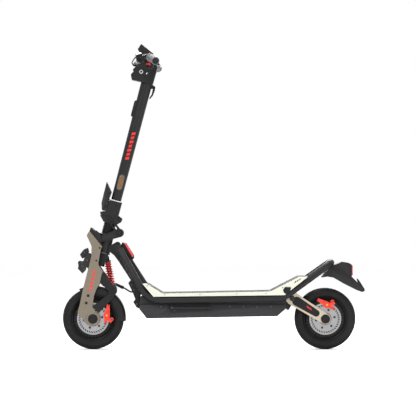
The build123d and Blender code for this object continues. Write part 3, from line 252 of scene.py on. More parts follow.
CALIPER_RED = surface(
    "caliper_red", (0.58, 0.018, 0.003), 0.40, 0.0, 0.08, 1000, 0.14,
    wear=(0.66, 0.08, 0.04), wear_amount=0.3, coat=0.1, specular=0.35,
)
TYRE_RUBBER = surface(
    "tyre_rubber", (0.0055, 0.0054, 0.0056), 0.68, 0.0, 0.18, 500, 0.30, 0.0003,
    wear=(0.035, 0.034, 0.033), wear_amount=0.6, dust=0.015, specular=0.16,
)
SOFT_RUBBER = surface(
    "soft_rubber", (0.0065, 0.0065, 0.007), 0.60, 0.0, 0.12, 700, 0.25, 0.0002,
    wear=(0.03, 0.03, 0.031), wear_amount=0.5, specular=0.18,
)
DECK_RUBBER = surface(
    "deck_rubber", (0.040, 0.041, 0.044), 0.68, 0.0, 0.12, 600, 0.30, 0.0003,
    wear=(0.14, 0.14, 0.145), wear_amount=0.5, dust=0.08, specular=0.35,
)
BLACK_PLASTIC = surface(
    "black_plastic", (0.0045, 0.0045, 0.0049), 0.46, 0.0, 0.12, 1300, 0.22, 0.00015,
    wear=(0.025, 0.025, 0.027), wear_amount=0.5, specular=0.18,
)
GREY_PLASTIC = surface(
    "grey_plastic", (0.012, 0.0122, 0.013), 0.48, 0.0, 0.10, 1300, 0.22, 0.00015,
    wear=(0.05, 0.05, 0.052), wear_amount=0.5, specular=0.2,
)
PALE_PLASTIC = surface(
    "pale_plastic", (0.55, 0.56, 0.57), 0.45, 0.0, 0.05, 1300, 0.18, 0.00012,
    wear=(0.7, 0.7, 0.7), wear_amount=0.4,
)
BLACK_METAL = surface(
    "black_metal", (0.0042, 0.0042, 0.0045), 0.40, 0.0, 0.12, 900, 0.14,
    wear=(0.035, 0.035, 0.036), wear_amount=0.5, specular=0.2,
)
GLOSS_BLACK = surface(
    "display_plastic", (0.012, 0.012, 0.014), 0.10, 0.0, 0.10, 300, 0.02, coat=0.6,
)
RED_PLASTIC = surface(
    "red_plastic", (0.50, 0.005, 0.003), 0.44, 0.0, 0.06, 1200, 0.15,
    wear=(0.6, 0.04, 0.03), wear_amount=0.3, specular=0.35,
)
YELLOW_PLASTIC = surface("yellow_plastic", (0.50, 0.30, 0.03), 0.40, 0.0, 0.06, 1200, 0.12)
SCREW_STEEL = surface(
    "screw_steel", (0.035, 0.035, 0.037), 0.32, 0.7, 0.10, 800, 0.10,
    wear=(0.25, 0.25, 0.25), wear_amount=0.5,
)
CELL_WRAP = surface("cell_wrap", (0.05, 0.12, 0.30), 0.35, 0.0, 0.10, 400, 0.10)
COPPER = surface("winding_copper", (0.55, 0.24, 0.10), 0.35, 0.8, 0.15, 250, 0.5, 0.0005)
RED_LENS = glowing("red_lens", (0.42, 0.002, 0.003), 0.18, 0.03, 60)
PINK_LENS = glowing("neck_lens", (0.55, 0.016, 0.022), 0.25, 0.04, 60)
AMBER_LENS = glowing("amber_lens", (0.10, 0.042, 0.001), 0.20, 0.0, 80)
CLEAR_LENS = glowing("clear_lens", (0.55, 0.57, 0.60), 0.06, 0.05, 40)

SLOT_MATERIAL = {
    "charcoal_paint": CHARCOAL, "bronze_paint": BRONZE, "champagne_paint": CHAMPAGNE,
    "ivory_paint": IVORY, "grey_metal": GREY_METAL, "machined_aluminium": ALUMINIUM,
    "disc_steel": DISC_STEEL, "bearing_steel": BEARING_STEEL, "spring_red": SPRING_RED,
    "caliper_red": CALIPER_RED, "tyre_rubber": TYRE_RUBBER, "soft_rubber": SOFT_RUBBER,
    "deck_rubber": DECK_RUBBER, "black_plastic": BLACK_PLASTIC, "grey_plastic": GREY_PLASTIC,
    "display_plastic": GLOSS_BLACK, "red_lens": RED_LENS, "lamp_plastic": GREY_PLASTIC,
    "red_plastic": RED_PLASTIC, "cell_wrap": CELL_WRAP, "winding_copper": COPPER,
}


# ---------------------------------------------------------------------------------------
# Mesh helpers
# ---------------------------------------------------------------------------------------
def smooth(obj, angle=35.0):
    mesh = obj.data
    for polygon in mesh.polygons:
        polygon.use_smooth = True
    mesh.set_sharp_from_angle(angle=radians(angle))


def add_bevel(obj, width, segments=3, angle=30.0):
    modifier = obj.modifiers.new("edge", "BEVEL")
    modifier.width = width
    modifier.segments = segments
    modifier.limit_method = "ANGLE"
    modifier.angle_limit = radians(angle)
    modifier.use_clamp_overlap = True
    modifier.harden_normals = False
    modifier.miter_outer = "MITER_ARC"


def piece(name, bm, material, body, bevel=0.0, segments=3, replaces=(), smooth_angle=35.0):
    """Turns a bmesh into a finished piece that rides on a body."""
    bmesh.ops.remove_doubles(bm, verts=bm.verts, dist=1e-7)
    bmesh.ops.recalc_face_normals(bm, faces=bm.faces)
    mesh = bpy.data.meshes.new(name)
    bm.to_mesh(mesh)
    bm.free()
    obj = bpy.data.objects.new(name, mesh)
    bpy.context.scene.collection.objects.link(obj)
    mesh.materials.append(material)
    smooth(obj, smooth_angle)
    if bevel:
        add_bevel(obj, bevel, segments)
    if body:
        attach(obj, body)
    if replaces:
        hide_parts(*replaces)
    return obj


def dress(node, bevel, material=None, segments=3, flat=4.0, angle=30.0, name=None):
    """Replaces a CAD node by its own shape with rounded edges and a finished surface."""
    bm = bmesh.new()
    bm.from_mesh(nodes[node].data)
    bmesh.ops.remove_doubles(bm, verts=bm.verts, dist=2e-6)
    bmesh.ops.dissolve_limit(
        bm, angle_limit=radians(flat), verts=bm.verts, edges=bm.edges, delimit={"NORMAL"}
    )
    obj = piece(
        name or node + "_skin", bm, material or SLOT_MATERIAL[node_slot[node]], node_body[node],
        replaces=(node,),
    )
    if bevel:
        add_bevel(obj, bevel, segments, angle)
    return obj


def frame_axes(direction, hint=RIGHT):
    """Two unit vectors square to a direction."""
    direction = direction.normalized()
    side_a = hint - direction * hint.dot(direction)
    if side_a.length < 1e-4:
        side_a = Vector((1, 0, 0)) - direction * direction.x
    side_a.normalize()
    return side_a, direction.cross(side_a)


def lathe(bm, centre, axis, profile, steps=48, closed=False, arc=2 * pi, start=0.0, hint=RIGHT):
    """Turns a profile of (radius, height) pairs, in mm, about an axis."""
    a, b = frame_axes(axis, hint)
    axis = axis.normalized()
    full = abs(arc - 2 * pi) < 1e-6
    count = steps if full else steps + 1
    rings = []
    for i in range(count):
        turn = start + arc * i / steps
        out = a * cos(turn) + b * sin(turn)
        ring = []
        for radius, height in profile:
            if radius <= 1e-6 and rings:
                ring.append(rings[0][len(ring)])
                continue
            ring.append(bm.verts.new(centre + (out * radius + axis * height) * MM))
        rings.append(ring)
    spans = len(profile) if closed else len(profile) - 1
    for i in range(steps):
        first = rings[i]
        second = rings[(i + 1) % count]
        for j in range(spans):
            k = (j + 1) % len(profile)
            corners = [first[j], first[k], second[k], second[j]]
            unique = []
            for v in corners:
                if v not in unique:
                    unique.append(v)
            if len(unique) > 2:
                bm.faces.new(unique)
    return rings


def catmull(points, per_span=8):
    """Smooth line through the given points."""
    out = []
    padded = [points[0] * 2 - points[1], *points, points[-1] * 2 - points[-2]]
    for i in range(1, len(padded) - 2):
        p0, p1, p2, p3 = padded[i - 1:i + 3]
        for step in range(per_span):
            t = step / per_span
            out.append(
                0.5 * (
                    p1 * 2 + (p2 - p0) * t + (p0 * 2 - p1 * 5 + p2 * 4 - p3) * t * t
                    + (p1 * 3 - p0 - p2 * 3 + p3) * t ** 3
                )
            )
    out.append(points[-1].copy())
    return out


def bend_line(corners, radii, per_bend=12):
    """Straight runs with an arc of the given radius at each inner corner."""
    out = [corners[0].copy()]
    for i in range(1, len(corners) - 1):
        before = (corners[i - 1] - corners[i]).normalized()
        after = (corners[i + 1] - corners[i]).normalized()
        half = before.angle(after) / 2
        cut = radii[i - 1] * MM / (sin(half) / cos(half))
        start = corners[i] + before * cut
        end = corners[i] + after * cut
        middle = (before + after).normalized()
        centre = corners[i] + middle * (radii[i - 1] * MM / sin(half))
        for step in range(per_bend + 1):
            t = step / per_bend
            chord = start.lerp(end, t)
            out.append(centre + (chord - centre).normalized() * radii[i - 1] * MM)
    out.append(corners[-1].copy())
    return out


def tube(bm, line, radius, steps=24, caps=True, radius_at=None, hint=RIGHT):
    """Round tube along a line of points; radius in mm, or a function of the share along."""
    rings = []
    previous = None
    for i, point in enumerate(line):
        ahead = line[min(i + 1, len(line) - 1)] - line[max(i - 1, 0)]
        direction = ahead.normalized()
        if previous is None:
            a, _ = frame_axes(direction, hint)
        else:
            a = previous - direction * previous.dot(direction)
            a.normalize()
        b = direction.cross(a)
        previous = a
        r = (radius_at(i / (len(line) - 1)) if radius_at else radius) * MM
        ring = []
        for k in range(steps):
            turn = 2 * pi * k / steps
            ring.append(bm.verts.new(point + (a * cos(turn) + b * sin(turn)) * r))
        rings.append(ring)
    for first, second in zip(rings, rings[1:]):
        for k in range(steps):
            n = (k + 1) % steps
            bm.faces.new((first[k], first[n], second[n], second[k]))
    if caps:
        bm.faces.new(list(reversed(rings[0])))
        bm.faces.new(rings[-1])
    return rings


def prism(bm, outline, low_y, high_y, point=None):
    """Flat outline of side-view points in mm, given a thickness across the scooter."""
    place = point or (lambda x, z, y: Vector((x, y, z)) * MM)
    near = [bm.verts.new(place(x, z, low_y)) for x, z in outline]
    far = [bm.verts.new(place(x, z, high_y)) for x, z in outline]
    bm.faces.new(near)
    bm.faces.new(list(reversed(far)))
    count = len(outline)
    for i in range(count):
        j = (i + 1) % count
        bm.faces.new((near[i], near[j], far[j], far[i]))


def steer_prism(bm, outline, low_y, high_y):
    prism(bm, outline, low_y, high_y, lambda s, t, y: steer(s, t, y))


def block(bm, centre, size, x_dir=Vector((1, 0, 0)), y_dir=RIGHT):
    """Box with its centre, sizes in mm and two of its directions."""
    x_dir = x_dir.normalized()
    y_dir = (y_dir - x_dir * y_dir.dot(x_dir)).normalized()
    z_dir = x_dir.cross(y_dir)
    verts = []
    for k in (-0.5, 0.5):
        for j in (-0.5, 0.5):
            for i in (-0.5, 0.5):
                offset = x_dir * size[0] * i + y_dir * size[1] * j + z_dir * size[2] * k
                verts.append(bm.verts.new(centre + offset * MM))
    for quad in ((0, 1, 3, 2), (4, 6, 7, 5), (0, 4, 5, 1), (2, 3, 7, 6), (0, 2, 6, 4), (1, 5, 7, 3)):
        bm.faces.new([verts[q] for q in quad])


def screw(bm, centre, direction, radius, height=None):
    """Socket-head screw: a chamfered head with a six-sided recess; its base is at centre."""
    height = height or radius * 0.7
    lathe(
        bm, centre, direction,
        [(radius, 0), (radius, height * 0.8), (radius * 0.86, height), (radius * 0.5, height)], 20,
    )
    lathe(
        bm, centre, direction,
        [(radius * 0.5, height), (radius * 0.46, height * 0.35), (0, height * 0.35)], 6,
    )


# ---------------------------------------------------------------------------------------
# Camera, light and floor
# ---------------------------------------------------------------------------------------
camera_data = bpy.data.cameras.new("camera")
camera_data.lens = 226.0
camera_data.sensor_width = 36.0
camera_data.clip_end = 100.0
camera = bpy.data.objects.new("camera", camera_data)
camera.location = (-0.025, -11.5, 0.621)
camera.rotation_euler = (radians(90), 0, 0)
bpy.context.scene.collection.objects.link(camera)
bpy.context.scene.camera = camera

bpy.context.scene.view_settings.view_transform = "Standard"
world = bpy.data.worlds.new("studio")
bpy.context.scene.world = world
world.use_nodes = True
world.node_tree.nodes["Background"].inputs["Color"].default_value = (1.0, 1.0, 1.0, 1.0)
world.node_tree.nodes["Background"].inputs["Strength"].default_value = 1.0


def area_light(name, place, target, size, power, colour=(1, 1, 1)):
    data = bpy.data.lights.new(name, "AREA")
    data.shape = "RECTANGLE"
    data.size = size[0]
    data.size_y = size[1]
    data.energy = power
    data.color = colour
    light = bpy.data.objects.new(name, data)
    light.location = place
    light.rotation_euler = (Vector(target) - Vector(place)).to_track_quat("-Z", "Y").to_euler()
    bpy.context.scene.collection.objects.link(light)


area_light("key", (-1.8, -3.2, 3.4), (0, 0, 0.5), (2.2, 1.6), 150)
area_light("fill", (2.6, -3.4, 1.4), (0, 0, 0.5), (1.8, 2.2), 50)
area_light("top", (0.2, 0.4, 4.0), (0, 0, 0.4), (2.6, 1.6), 130)
area_light("back", (0.4, 3.4, 2.2), (0, 0, 0.6), (2.4, 1.6), 90)

floor_material = Graph("floor_paint")
floor_clouds = floor_material.noise(2.0, 3.0)
floor_shade = floor_material.ramp(floor_clouds, "Fac", 0.3, 0.7, 0.0, 1.0)
floor_material.colour(floor_material.mix(floor_shade, "Result", (0.975, 0.975, 0.975), (0.995, 0.995, 0.995)))
floor_material.set(Roughness=0.9)
floor_mesh = bmesh.new()
floor_profile = [(-16.0, 0.0), (0.0, 0.0), (16.0, 0.0)]
floor_rows = [
    [floor_mesh.verts.new((x, y, z)) for x in (-16.0, 16.0)] for y, z in floor_profile
]
for low_row, high_row in zip(floor_rows, floor_rows[1:]):
    floor_mesh.faces.new((low_row[0], low_row[1], high_row[1], high_row[0]))
floor_data = bpy.data.meshes.new("floor")
floor_mesh.to_mesh(floor_data)
floor_mesh.free()
floor = bpy.data.objects.new("floor", floor_data)
bpy.context.scene.collection.objects.link(floor)
floor_data.materials.append(floor_material.material)
for polygon in floor_data.polygons:
    polygon.use_smooth = True
# ---------------------------------------------------------------------------------------
# Wheels
# ---------------------------------------------------------------------------------------
CROWN_RADIUS = 141.4
CROWN_EDGE = CROWN_RADIUS * 0.19934
SHOULDER_CENTRE = (116.455, 24.5)
SHOULDER_RADIUS = 16.13


def tread_point(u):
    """Radius, width and outward normal at a distance u from the tread's middle line."""
    side_sign = 1 if u >= 0 else -1
    u = abs(u)
    if u <= CROWN_EDGE:
        turn = u / CROWN_RADIUS
        return (
            -6.4 + CROWN_RADIUS * cos(turn), side_sign * CROWN_RADIUS * sin(turn),
            cos(turn), side_sign * sin(turn),
        )
    turn = radians(12.53) + (u - CROWN_EDGE) / SHOULDER_RADIUS
    return (
        SHOULDER_CENTRE[0] + SHOULDER_RADIUS * cos(turn),
        side_sign * (SHOULDER_CENTRE[1] + SHOULDER_RADIUS * sin(turn)),
        cos(turn), side_sign * sin(turn),
    )


def wheel_point(axle, angle, radius, width):
    return axle + Vector((radius * cos(angle), width, radius * sin(angle))) * MM


def tread_block(bm, axle, angle, length, skew, u_low, u_high, depth, across=4, along=2):
    """One raised block of rubber that follows the tyre's crown."""
    layers = []
    for drop in (0.0, depth):
        grid = []
        for j in range(across + 1):
            u = u_low + (u_high - u_low) * j / across
            radius, width, out_r, out_w = tread_point(u)
            row = []
            for i in range(along + 1):
                turn = angle + (i / along - 0.5) * length + skew * (abs(u) - abs(u_low)) / 20
                row.append(
                    bm.verts.new(wheel_point(axle, turn, radius - drop * out_r, width - drop * out_w))
                )
            grid.append(row)
        layers.append(grid)
    top, low = layers
    for j in range(across):
        for i in range(along):
            bm.faces.new((top[j][i], top[j][i + 1], top[j + 1][i + 1], top[j + 1][i]))
    for i in range(along):
        bm.faces.new((top[0][i], low[0][i], low[0][i + 1], top[0][i + 1]))
        bm.faces.new((top[across][i + 1], low[across][i + 1], low[across][i], top[across][i]))
    for j in range(across):
        bm.faces.new((top[j + 1][0], low[j + 1][0], low[j][0], top[j][0]))
        bm.faces.new((top[j][along], low[j][along], low[j + 1][along], top[j + 1][along]))


CARCASS_HALF = [
    (87.8, 23.0), (87.9, 29.3), (92.3, 29.5), (94.2, 31.6), (95.6, 34.0), (97.5, 35.2), (99.0, 36.8),
    (101.5, 38.0), (103.0, 39.4), (104.6, 39.5), (105.6, 38.9), (110.0, 39.5), (114.0, 39.7),
    (117.0, 40.2), (118.6, 40.1), (119.6, 39.2), (122.2, 38.0), (125.0, 35.9), (127.3, 32.8), (128.6, 29.6),
    (129.2, 26.0), (130.0, 19.0), (131.0, 10.0),
]
TREAD_PITCHES = 46


def build_tyre(prefix, axle):
    bm = bmesh.new()
    profile = CARCASS_HALF + [(131.2, 0.0)] + [(r, -w) for r, w in reversed(CARCASS_HALF)]
    profile += [(98.0, -28.0), (112.0, -24.0), (120.0, -13.0), (122.5, 0.0)]
    profile += [(120.0, 13.0), (112.0, 24.0), (98.0, 28.0)]
    lathe(bm, axle, RIGHT, profile, 120, closed=True, hint=Vector((1, 0, 0)))
    piece(prefix + "_tyre_carcass", bm, TYRE_RUBBER, prefix + "_wheel", replaces=(prefix + "_tyre",))
    bm = bmesh.new()
    pitch = 2 * pi / TREAD_PITCHES
    for i in range(TREAD_PITCHES):
        angle = pitch * i
        for hand in (-1, 1):
            half = pitch / 2 if hand > 0 else 0.0
            tread_block(bm, axle, angle + half, pitch * 0.80, 0.05, hand * 1.4, hand * 10.5, 4.2)
            tread_block(bm, axle, angle + half + pitch * 0.3, pitch * 0.76, 0.07, hand * 13, hand * 24.5, 4.4)
            tread_block(
                bm, axle, angle + half + pitch * 0.65, pitch * 0.72, 0.04, hand * 27, hand * 39.5, 3.6, 5
            )
    piece(prefix + "_tyre_tread", bm, TYRE_RUBBER, prefix + "_wheel", 0.0006, 2)
    bm = bmesh.new()
    for hand in (-1, 1):
        for start in (0.35, 3.5):
            for k in range(9):
                turn = start + 0.075 * k
                width = hand * 39.7
                block(
                    bm, wheel_point(axle, turn, 111.2, width), (1.6, 1.2, 4.2 if k % 3 else 5.6),
                    Vector((-sin(turn), 0, cos(turn))),
                )
    piece(prefix + "_tyre_wear_marks", bm, TYRE_RUBBER, prefix + "_wheel", 0.0003, 2)


HUB_HALF = [
    (15.0, 31.4), (22.0, 32.0), (38.0, 32.2), (40.0, 31.0), (52.0, 31.0), (54.0, 32.4), (64.5, 32.6),
    (67.6, 31.6), (69.2, 29.2), (70.6, 25.2), (72.0, 24.4), (83.0, 24.4), (84.6, 25.2), (86.2, 28.6),
    (88.6, 31.2), (91.0, 33.7), (92.0, 33.9), (92.3, 33.2), (92.3, 30.3), (88.2, 30.0), (87.9, 29.6),
]


def build_hub(prefix, axle):
    body = prefix + "_wheel"
    bm = bmesh.new()
    profile = [(r, w) for r, w in HUB_HALF] + [(r, -w) for r, w in reversed(HUB_HALF)]
    profile += [(15.0, -27.0), (66.0, -26.0), (80.0, -21.0), (80.0, 21.0), (66.0, 26.0), (15.0, 27.0)]
    lathe(bm, axle, RIGHT, profile, 108, closed=True, hint=Vector((1, 0, 0)))
    piece(prefix + "_hub_casting", bm, BLACK_METAL, body, replaces=(prefix + "_hub",))
    bm = bmesh.new()
    for hand in (-1, 1):
        for i in range(36):
            turn = 2 * pi * (i + 0.5) / 36
            out = Vector((cos(turn), 0, sin(turn)))
            block(bm, wheel_point(axle, turn, 77.6, hand * 26.6), (15.0, 5.6, 3.4), out)
    piece(prefix + "_hub_ribs", bm, BLACK_METAL, body, 0.0007, 2)
    bm = bmesh.new()
    for i in range(8):
        turn = 2 * pi * i / 8
        centre = wheel_point(axle, turn, 59.0, 32.4)
        screw(bm, centre, RIGHT, 3.6, 2.4)
    piece(prefix + "_hub_cover_screws", bm, SCREW_STEEL, body)
    bm = bmesh.new()
    for i in range(6):
        turn = radians(10 + 60 * i)
        screw(bm, wheel_point(axle, turn, 41.0, -43.0), -RIGHT, 5.0, 3.2)
    piece(prefix + "_disc_screws", bm, BLACK_METAL, body)
    bm = bmesh.new()
    for hand in (-1, 1):
        lathe(
            bm, axle + RIGHT * hand * 31.6 * MM, RIGHT * hand,
            [(15.4, 0), (22.0, 0.6), (22.0, 2.6), (20.5, 3.4), (15.4, 3.4)], 40,
        )
    piece(prefix + "_bearing_seals", bm, SOFT_RUBBER, body)


def build_disc(prefix, axle):
    """Rotor with an outer band of slots and a spider that carries it."""
    body = prefix + "_wheel"
    bm = bmesh.new()
    near, far = -43.0, -41.0
    slots = 36
    steps = slots * 4

    def ring(radius, turn_shift=0.0):
        return [
            [
                bm.verts.new(wheel_point(axle, 2 * pi * k / steps + turn_shift, radius, w))
                for k in range(steps)
            ]
            for w in (near, far)
        ]

    radii = [27.0, 36.5, 45.5, 52.6, 55.0, 63.0, 66.0, 69.4, 70.0]
    rings = [ring(r, 0.10 * (r - 54.0) / 10.0 if 52 < r < 66.5 else 0.0) for r in radii]
    for index in range(len(radii) - 1):
        inner, outer = rings[index], rings[index + 1]
        for k in range(steps):
            n = (k + 1) % steps
            if radii[index] == 55.0 and k % 4 in (0, 1):
                continue
            bm.faces.new((inner[0][k], inner[0][n], outer[0][n], outer[0][k]))
            bm.faces.new((inner[1][k], outer[1][k], outer[1][n], inner[1][n]))
    for k in range(steps):
        n = (k + 1) % steps
        bm.faces.new((rings[0][0][k], rings[0][1][k], rings[0][1][n], rings[0][0][n]))
        bm.faces.new((rings[-1][0][k], rings[-1][0][n], rings[-1][1][n], rings[-1][1][k]))
    slot_in, slot_out = rings[radii.index(55.0)], rings[radii.index(55.0) + 1]
    for i in range(slots):
        k0, k1, k2 = 4 * i, 4 * i + 1, (4 * i + 2) % steps
        for a, b in ((k0, k1), (k1, k2)):
            bm.faces.new((slot_in[0][a], slot_in[0][b], slot_in[1][b], slot_in[1][a]))
            bm.faces.new((slot_out[0][b], slot_out[0][a], slot_out[1][a], slot_out[1][b]))
        for a in (k0, k2):
            bm.faces.new((slot_in[0][a], slot_in[1][a], slot_out[1][a], slot_out[0][a]))
    piece(
        prefix + "_disc_rotor", bm, DISC_STEEL, body, 0.00025, 2, replaces=(prefix + "_brake_disc",),
        smooth_angle=30,
    )
    bm = bmesh.new()
    lathe(
        bm, axle - RIGHT * 32.2 * MM, -RIGHT,
        [(30.0, 0), (46.0, 0), (46.0, 6.8), (44.6, 8.6), (30.0, 8.6)], 60, closed=True,
    )
    piece(prefix + "_disc_carrier", bm, ALUMINIUM, body, 0.0004, 2)


def build_core(prefix, axle, body):
    """Spindle with its nuts, and the wound stator inside the hub."""
    bm = bmesh.new()
    lathe(
        bm, axle - RIGHT * 72 * MM, RIGHT,
        [(0, 0), (6.6, 0), (8.0, 1.4), (8.0, 22), (14.9, 22), (14.9, 122), (8.0, 122), (8.0, 142.6),
         (6.6, 144), (0, 144)], 40,
    )
    piece(prefix + "_spindle", bm, BEARING_STEEL, body, replaces=(prefix + "_motor_core",))
    bm = bmesh.new()
    for hand in (-1, 1):
        lathe(
            bm, axle + RIGHT * hand * 61.8 * MM, RIGHT * hand,
            [(8.05, 0), (12.6, 0), (12.6, 1.6), (8.05, 1.6)], 36, closed=True,
        )
        lathe(
            bm, axle + RIGHT * hand * 63.4 * MM, RIGHT * hand,
            [(8.05, 0), (11.4, 0), (11.4, 5.6), (10.2, 6.8), (8.05, 6.8)], 6, closed=True,
        )
        lathe(
            bm, axle + RIGHT * hand * 63.4 * MM, RIGHT * hand,
            [(12.8, 0), (20.4, 0), (20.4, 3.6), (18.6, 6.4), (14.6, 7.6), (12.8, 7.0)], 48, closed=True,
        )
        lathe(
            bm, axle + RIGHT * hand * 63.4 * MM, RIGHT * hand,
            [(12.7, 6.9), (12.7, 8.2), (11.6, 9.4), (4.0, 9.4), (3.4, 8.9), (0, 8.9)], 40,
        )
    piece(prefix + "_axle_nuts", bm, BLACK_METAL, body, 0.0003, 2)
    bm = bmesh.new()
    lathe(
        bm, axle - RIGHT * 15 * MM, RIGHT, [(14.95, 0), (52, 0), (52, 30), (14.95, 30)], 54, closed=True,
    )
    for i in range(27):
        turn = 2 * pi * i / 27
        out = Vector((cos(turn), 0, sin(turn)))
        block(bm, wheel_point(axle, turn, 63.0, 0), (26.0, 28.0, 9.0), out)
        block(bm, wheel_point(axle, turn, 76.4, 0), (2.4, 30.0, 14.0), out)
    piece(prefix + "_stator", bm, COPPER, body, 0.0006, 2)


for wheel_prefix, wheel_axle, core_body in (("front", FRONT_AXLE, "fork"), ("rear", REAR_AXLE, "rear_arm")):
    build_tyre(wheel_prefix, wheel_axle)
    build_hub(wheel_prefix, wheel_axle)
    build_disc(wheel_prefix, wheel_axle)
    build_core(wheel_prefix, wheel_axle, core_body)


def build_caliper(prefix, axle, angle, body):
    """Details on a caliper: the piston cap, a coloured spot and bolts."""
    turn = radians(angle)

    def around(behind, up, y):
        x = behind * cos(turn) - up * sin(turn)
        z = behind * sin(turn) + up * cos(turn)
        return axle + Vector((x, y, z)) * MM

    dress(prefix + "_caliper", 0.0011, CALIPER_RED)
    bm = bmesh.new()
    lathe(
        bm, around(60, 15, -57.0), -RIGHT,
        [(11.0, -0.4), (11.0, 1.4), (9.6, 2.4), (6.4, 2.4), (5.6, 1.0), (0, 1.0)], 36,
    )
    piece(prefix + "_caliper_cap", bm, CALIPER_RED, body)
    bm = bmesh.new()
    lathe(bm, around(60, 15, -57.9), -RIGHT, [(4.2, 0), (4.2, 1.2), (3.4, 1.7), (0, 1.7)], 24)
    piece(prefix + "_caliper_spot", bm, YELLOW_PLASTIC, body)
    bm = bmesh.new()
    for behind, up, radius in ((67, 60, 3.6), (82, -2, 4.2), (53.5, -19, 3.4), (68, 32, 3.0)):
        screw(bm, around(behind, up, -57.0), -RIGHT, radius, 2.6)
    piece(prefix + "_caliper_screws", bm, SCREW_STEEL, body)


build_caliper("front", FRONT_AXLE, 0.0, "fork")
build_caliper("rear", REAR_AXLE, 69.4, "rear_arm")

# ---------------------------------------------------------------------------------------
# Frame, deck and tail
# ---------------------------------------------------------------------------------------
RAIL_POINTS = [
    (-412.0, -38.5, 440.0), (-289.2, -100.0, 218.5), (300.0, -100.0, 227.8), (514.0, -72.0, 381.0),
    (514.0, 72.0, 381.0), (300.0, 100.0, 227.8), (-289.2, 100.0, 218.5), (-412.0, 38.5, 440.0),
]
rail_line = bend_line([Vector(p) * MM for p in RAIL_POINTS], [110, 70, 50, 50, 70, 110], 14)
bm = bmesh.new()
tube(bm, rail_line, 16.0, 40)
piece("side_rails", bm, CHARCOAL, "frame", replaces=("frame_rails",))


def tube_end_weld(name, centre, direction, radius, body, material, beads=34, size=2.4):
    """Row of overlapping weld beads round a tube."""
    bm = bmesh.new()
    a, b = frame_axes(direction)
    for i in range(beads):
        turn = 2 * pi * i / beads
        out = a * cos(turn) + b * sin(turn)
        place = centre + out * radius * MM
        lathe(bm, place - out * size * 0.6 * MM, out, [(size * 1.25, 0), (size, size * 0.7), (0, size)], 8)
    piece(name, bm, material, body)


for hand, label in ((-1, "left"), (1, "right")):
    low = Vector((-375.0, hand * 57.0, 373.3)) * MM
    run = Vector((-289.2 + 412.0, hand * 61.5, 218.5 - 440.0)).normalized()
    tube_end_weld(label + "_rail_weld", low, run, 16.2, "frame", CHARCOAL)

dress("frame_neck", 0.0022)
dress("headset_bearings", 0.0006)
dress("battery_pack", 0.0012, CELL_WRAP)
dress("motor_controllers", 0.0012, ALUMINIUM)

# Bearing cups on the head tube.
bm = bmesh.new()
for along, height in ((428.5 + 8.2, 4.0), (517.5, 3.6)):
    lathe(
        bm, steer(0, along), STEER_UP,
        [(31.2, 0), (33.8, 0.8), (33.8, height - 0.8), (31.2, height)], 56, closed=True,
    )
piece("headset_cups", bm, GREY_METAL, "frame", 0.0003, 2)

# Neck light: a dark cover with a pink-red lens strip along its upper rear face.
dress("neck_light", 0.0030, BLACK_PLASTIC)
bm = bmesh.new()
prism(
    bm,
    [(-394.0, 466.6), (-384.6, 464.4), (-353.0, 414.8), (-353.6, 404.0), (-359.0, 407.0), (-386.0, 452.0)],
    -20.6, 20.6,
)
piece("neck_lens_strip", bm, PINK_LENS, "frame", 0.0016, 3)

# Battery case with ribs, cover screws and a seam.
dress("battery_case", 0.0030)
bm = bmesh.new()
for hand in (-1, 1):
    for x in range(-230, 251, 60):
        if hand < 0 and -215 < x < 20:
            continue
        screw(bm, Vector((x, hand * 88.0, 190.0)) * MM, RIGHT * hand, 3.0, 1.8)
for x in range(-260, 261, 65):
    for y in (-76, 76):
        screw(bm, Vector((x, y, 138.6 + (x + 293) * 10 / 571)) * MM, Vector((0, 0, -1)), 3.6, 1.4)
piece("case_screws", bm, SCREW_STEEL, "frame")
bm = bmesh.new()
for hand in (-1, 1):
    prism(
        bm, [(-316.0, 199.4), (312.0, 199.4), (312.0, 202.2), (-316.0, 202.2)],
        hand * 81.4, hand * 86.4,
    )
piece("case_seal", bm, SOFT_RUBBER, "frame", 0.0006, 2)
bm = bmesh.new()
for k in range(7):
    y = -54 + 18 * k
    prism(
        bm,
        [(-262.0, 137.2 + 0.54 + 0.6), (250.0, 147.5 + 0.1), (250.0, 149.5), (-262.0, 141.0)],
        y - 2.2, y + 2.2,
    )
piece("case_floor_ribs", bm, CHARCOAL, "frame", 0.0008, 2)

# Nose cover.
dress("nose_cover", 0.0026, BLACK_PLASTIC)
bm = bmesh.new()
for z, x in ((284.0, -371.0), (262.0, -361.6), (200.0, -348.6)):
    for hand in (-1, 1):
        screw(bm, Vector((x + 12, hand * 46.0, z)) * MM, RIGHT * hand, 3.0, 1.4)
piece("nose_screws", bm, SCREW_STEEL, "frame")

# Deck.
dress("deck_plate", 0.0008)
DECK_LINE = [(-296, 293.5), (-222, 249), (247.5, 258), (373, 322.5), (410, 322.5)]


def deck_height(x):
    for (x0, z0), (x1, z1) in zip(DECK_LINE, DECK_LINE[1:]):
        if x <= x1:
            return z0 + (z1 - z0) * (x - x0) / (x1 - x0)
    return DECK_LINE[-1][1]


def deck_run(x0, x1):
    inner = [x for x, _ in DECK_LINE if x0 < x < x1]
    return [x0, *inner, x1]


def mat_strip(bm, x0, x1, y0, y1, low, high):
    """Strip of the mat between two depths below the deck line."""
    xs = deck_run(x0, x1)
    rows = []
    for x in xs:
        z = deck_height(x)
        rows.append(
            [
                bm.verts.new(Vector((x, y, z - d)) * MM)
                for y, d in ((y0, low), (y1, low), (y1, high), (y0, high))
            ]
        )
    for a, b in zip(rows, rows[1:]):
        for k in range(4):
            n = (k + 1) % 4
            bm.faces.new((a[k], a[n], b[n], b[k]))
    bm.faces.new(rows[0])
    bm.faces.new(list(reversed(rows[-1])))


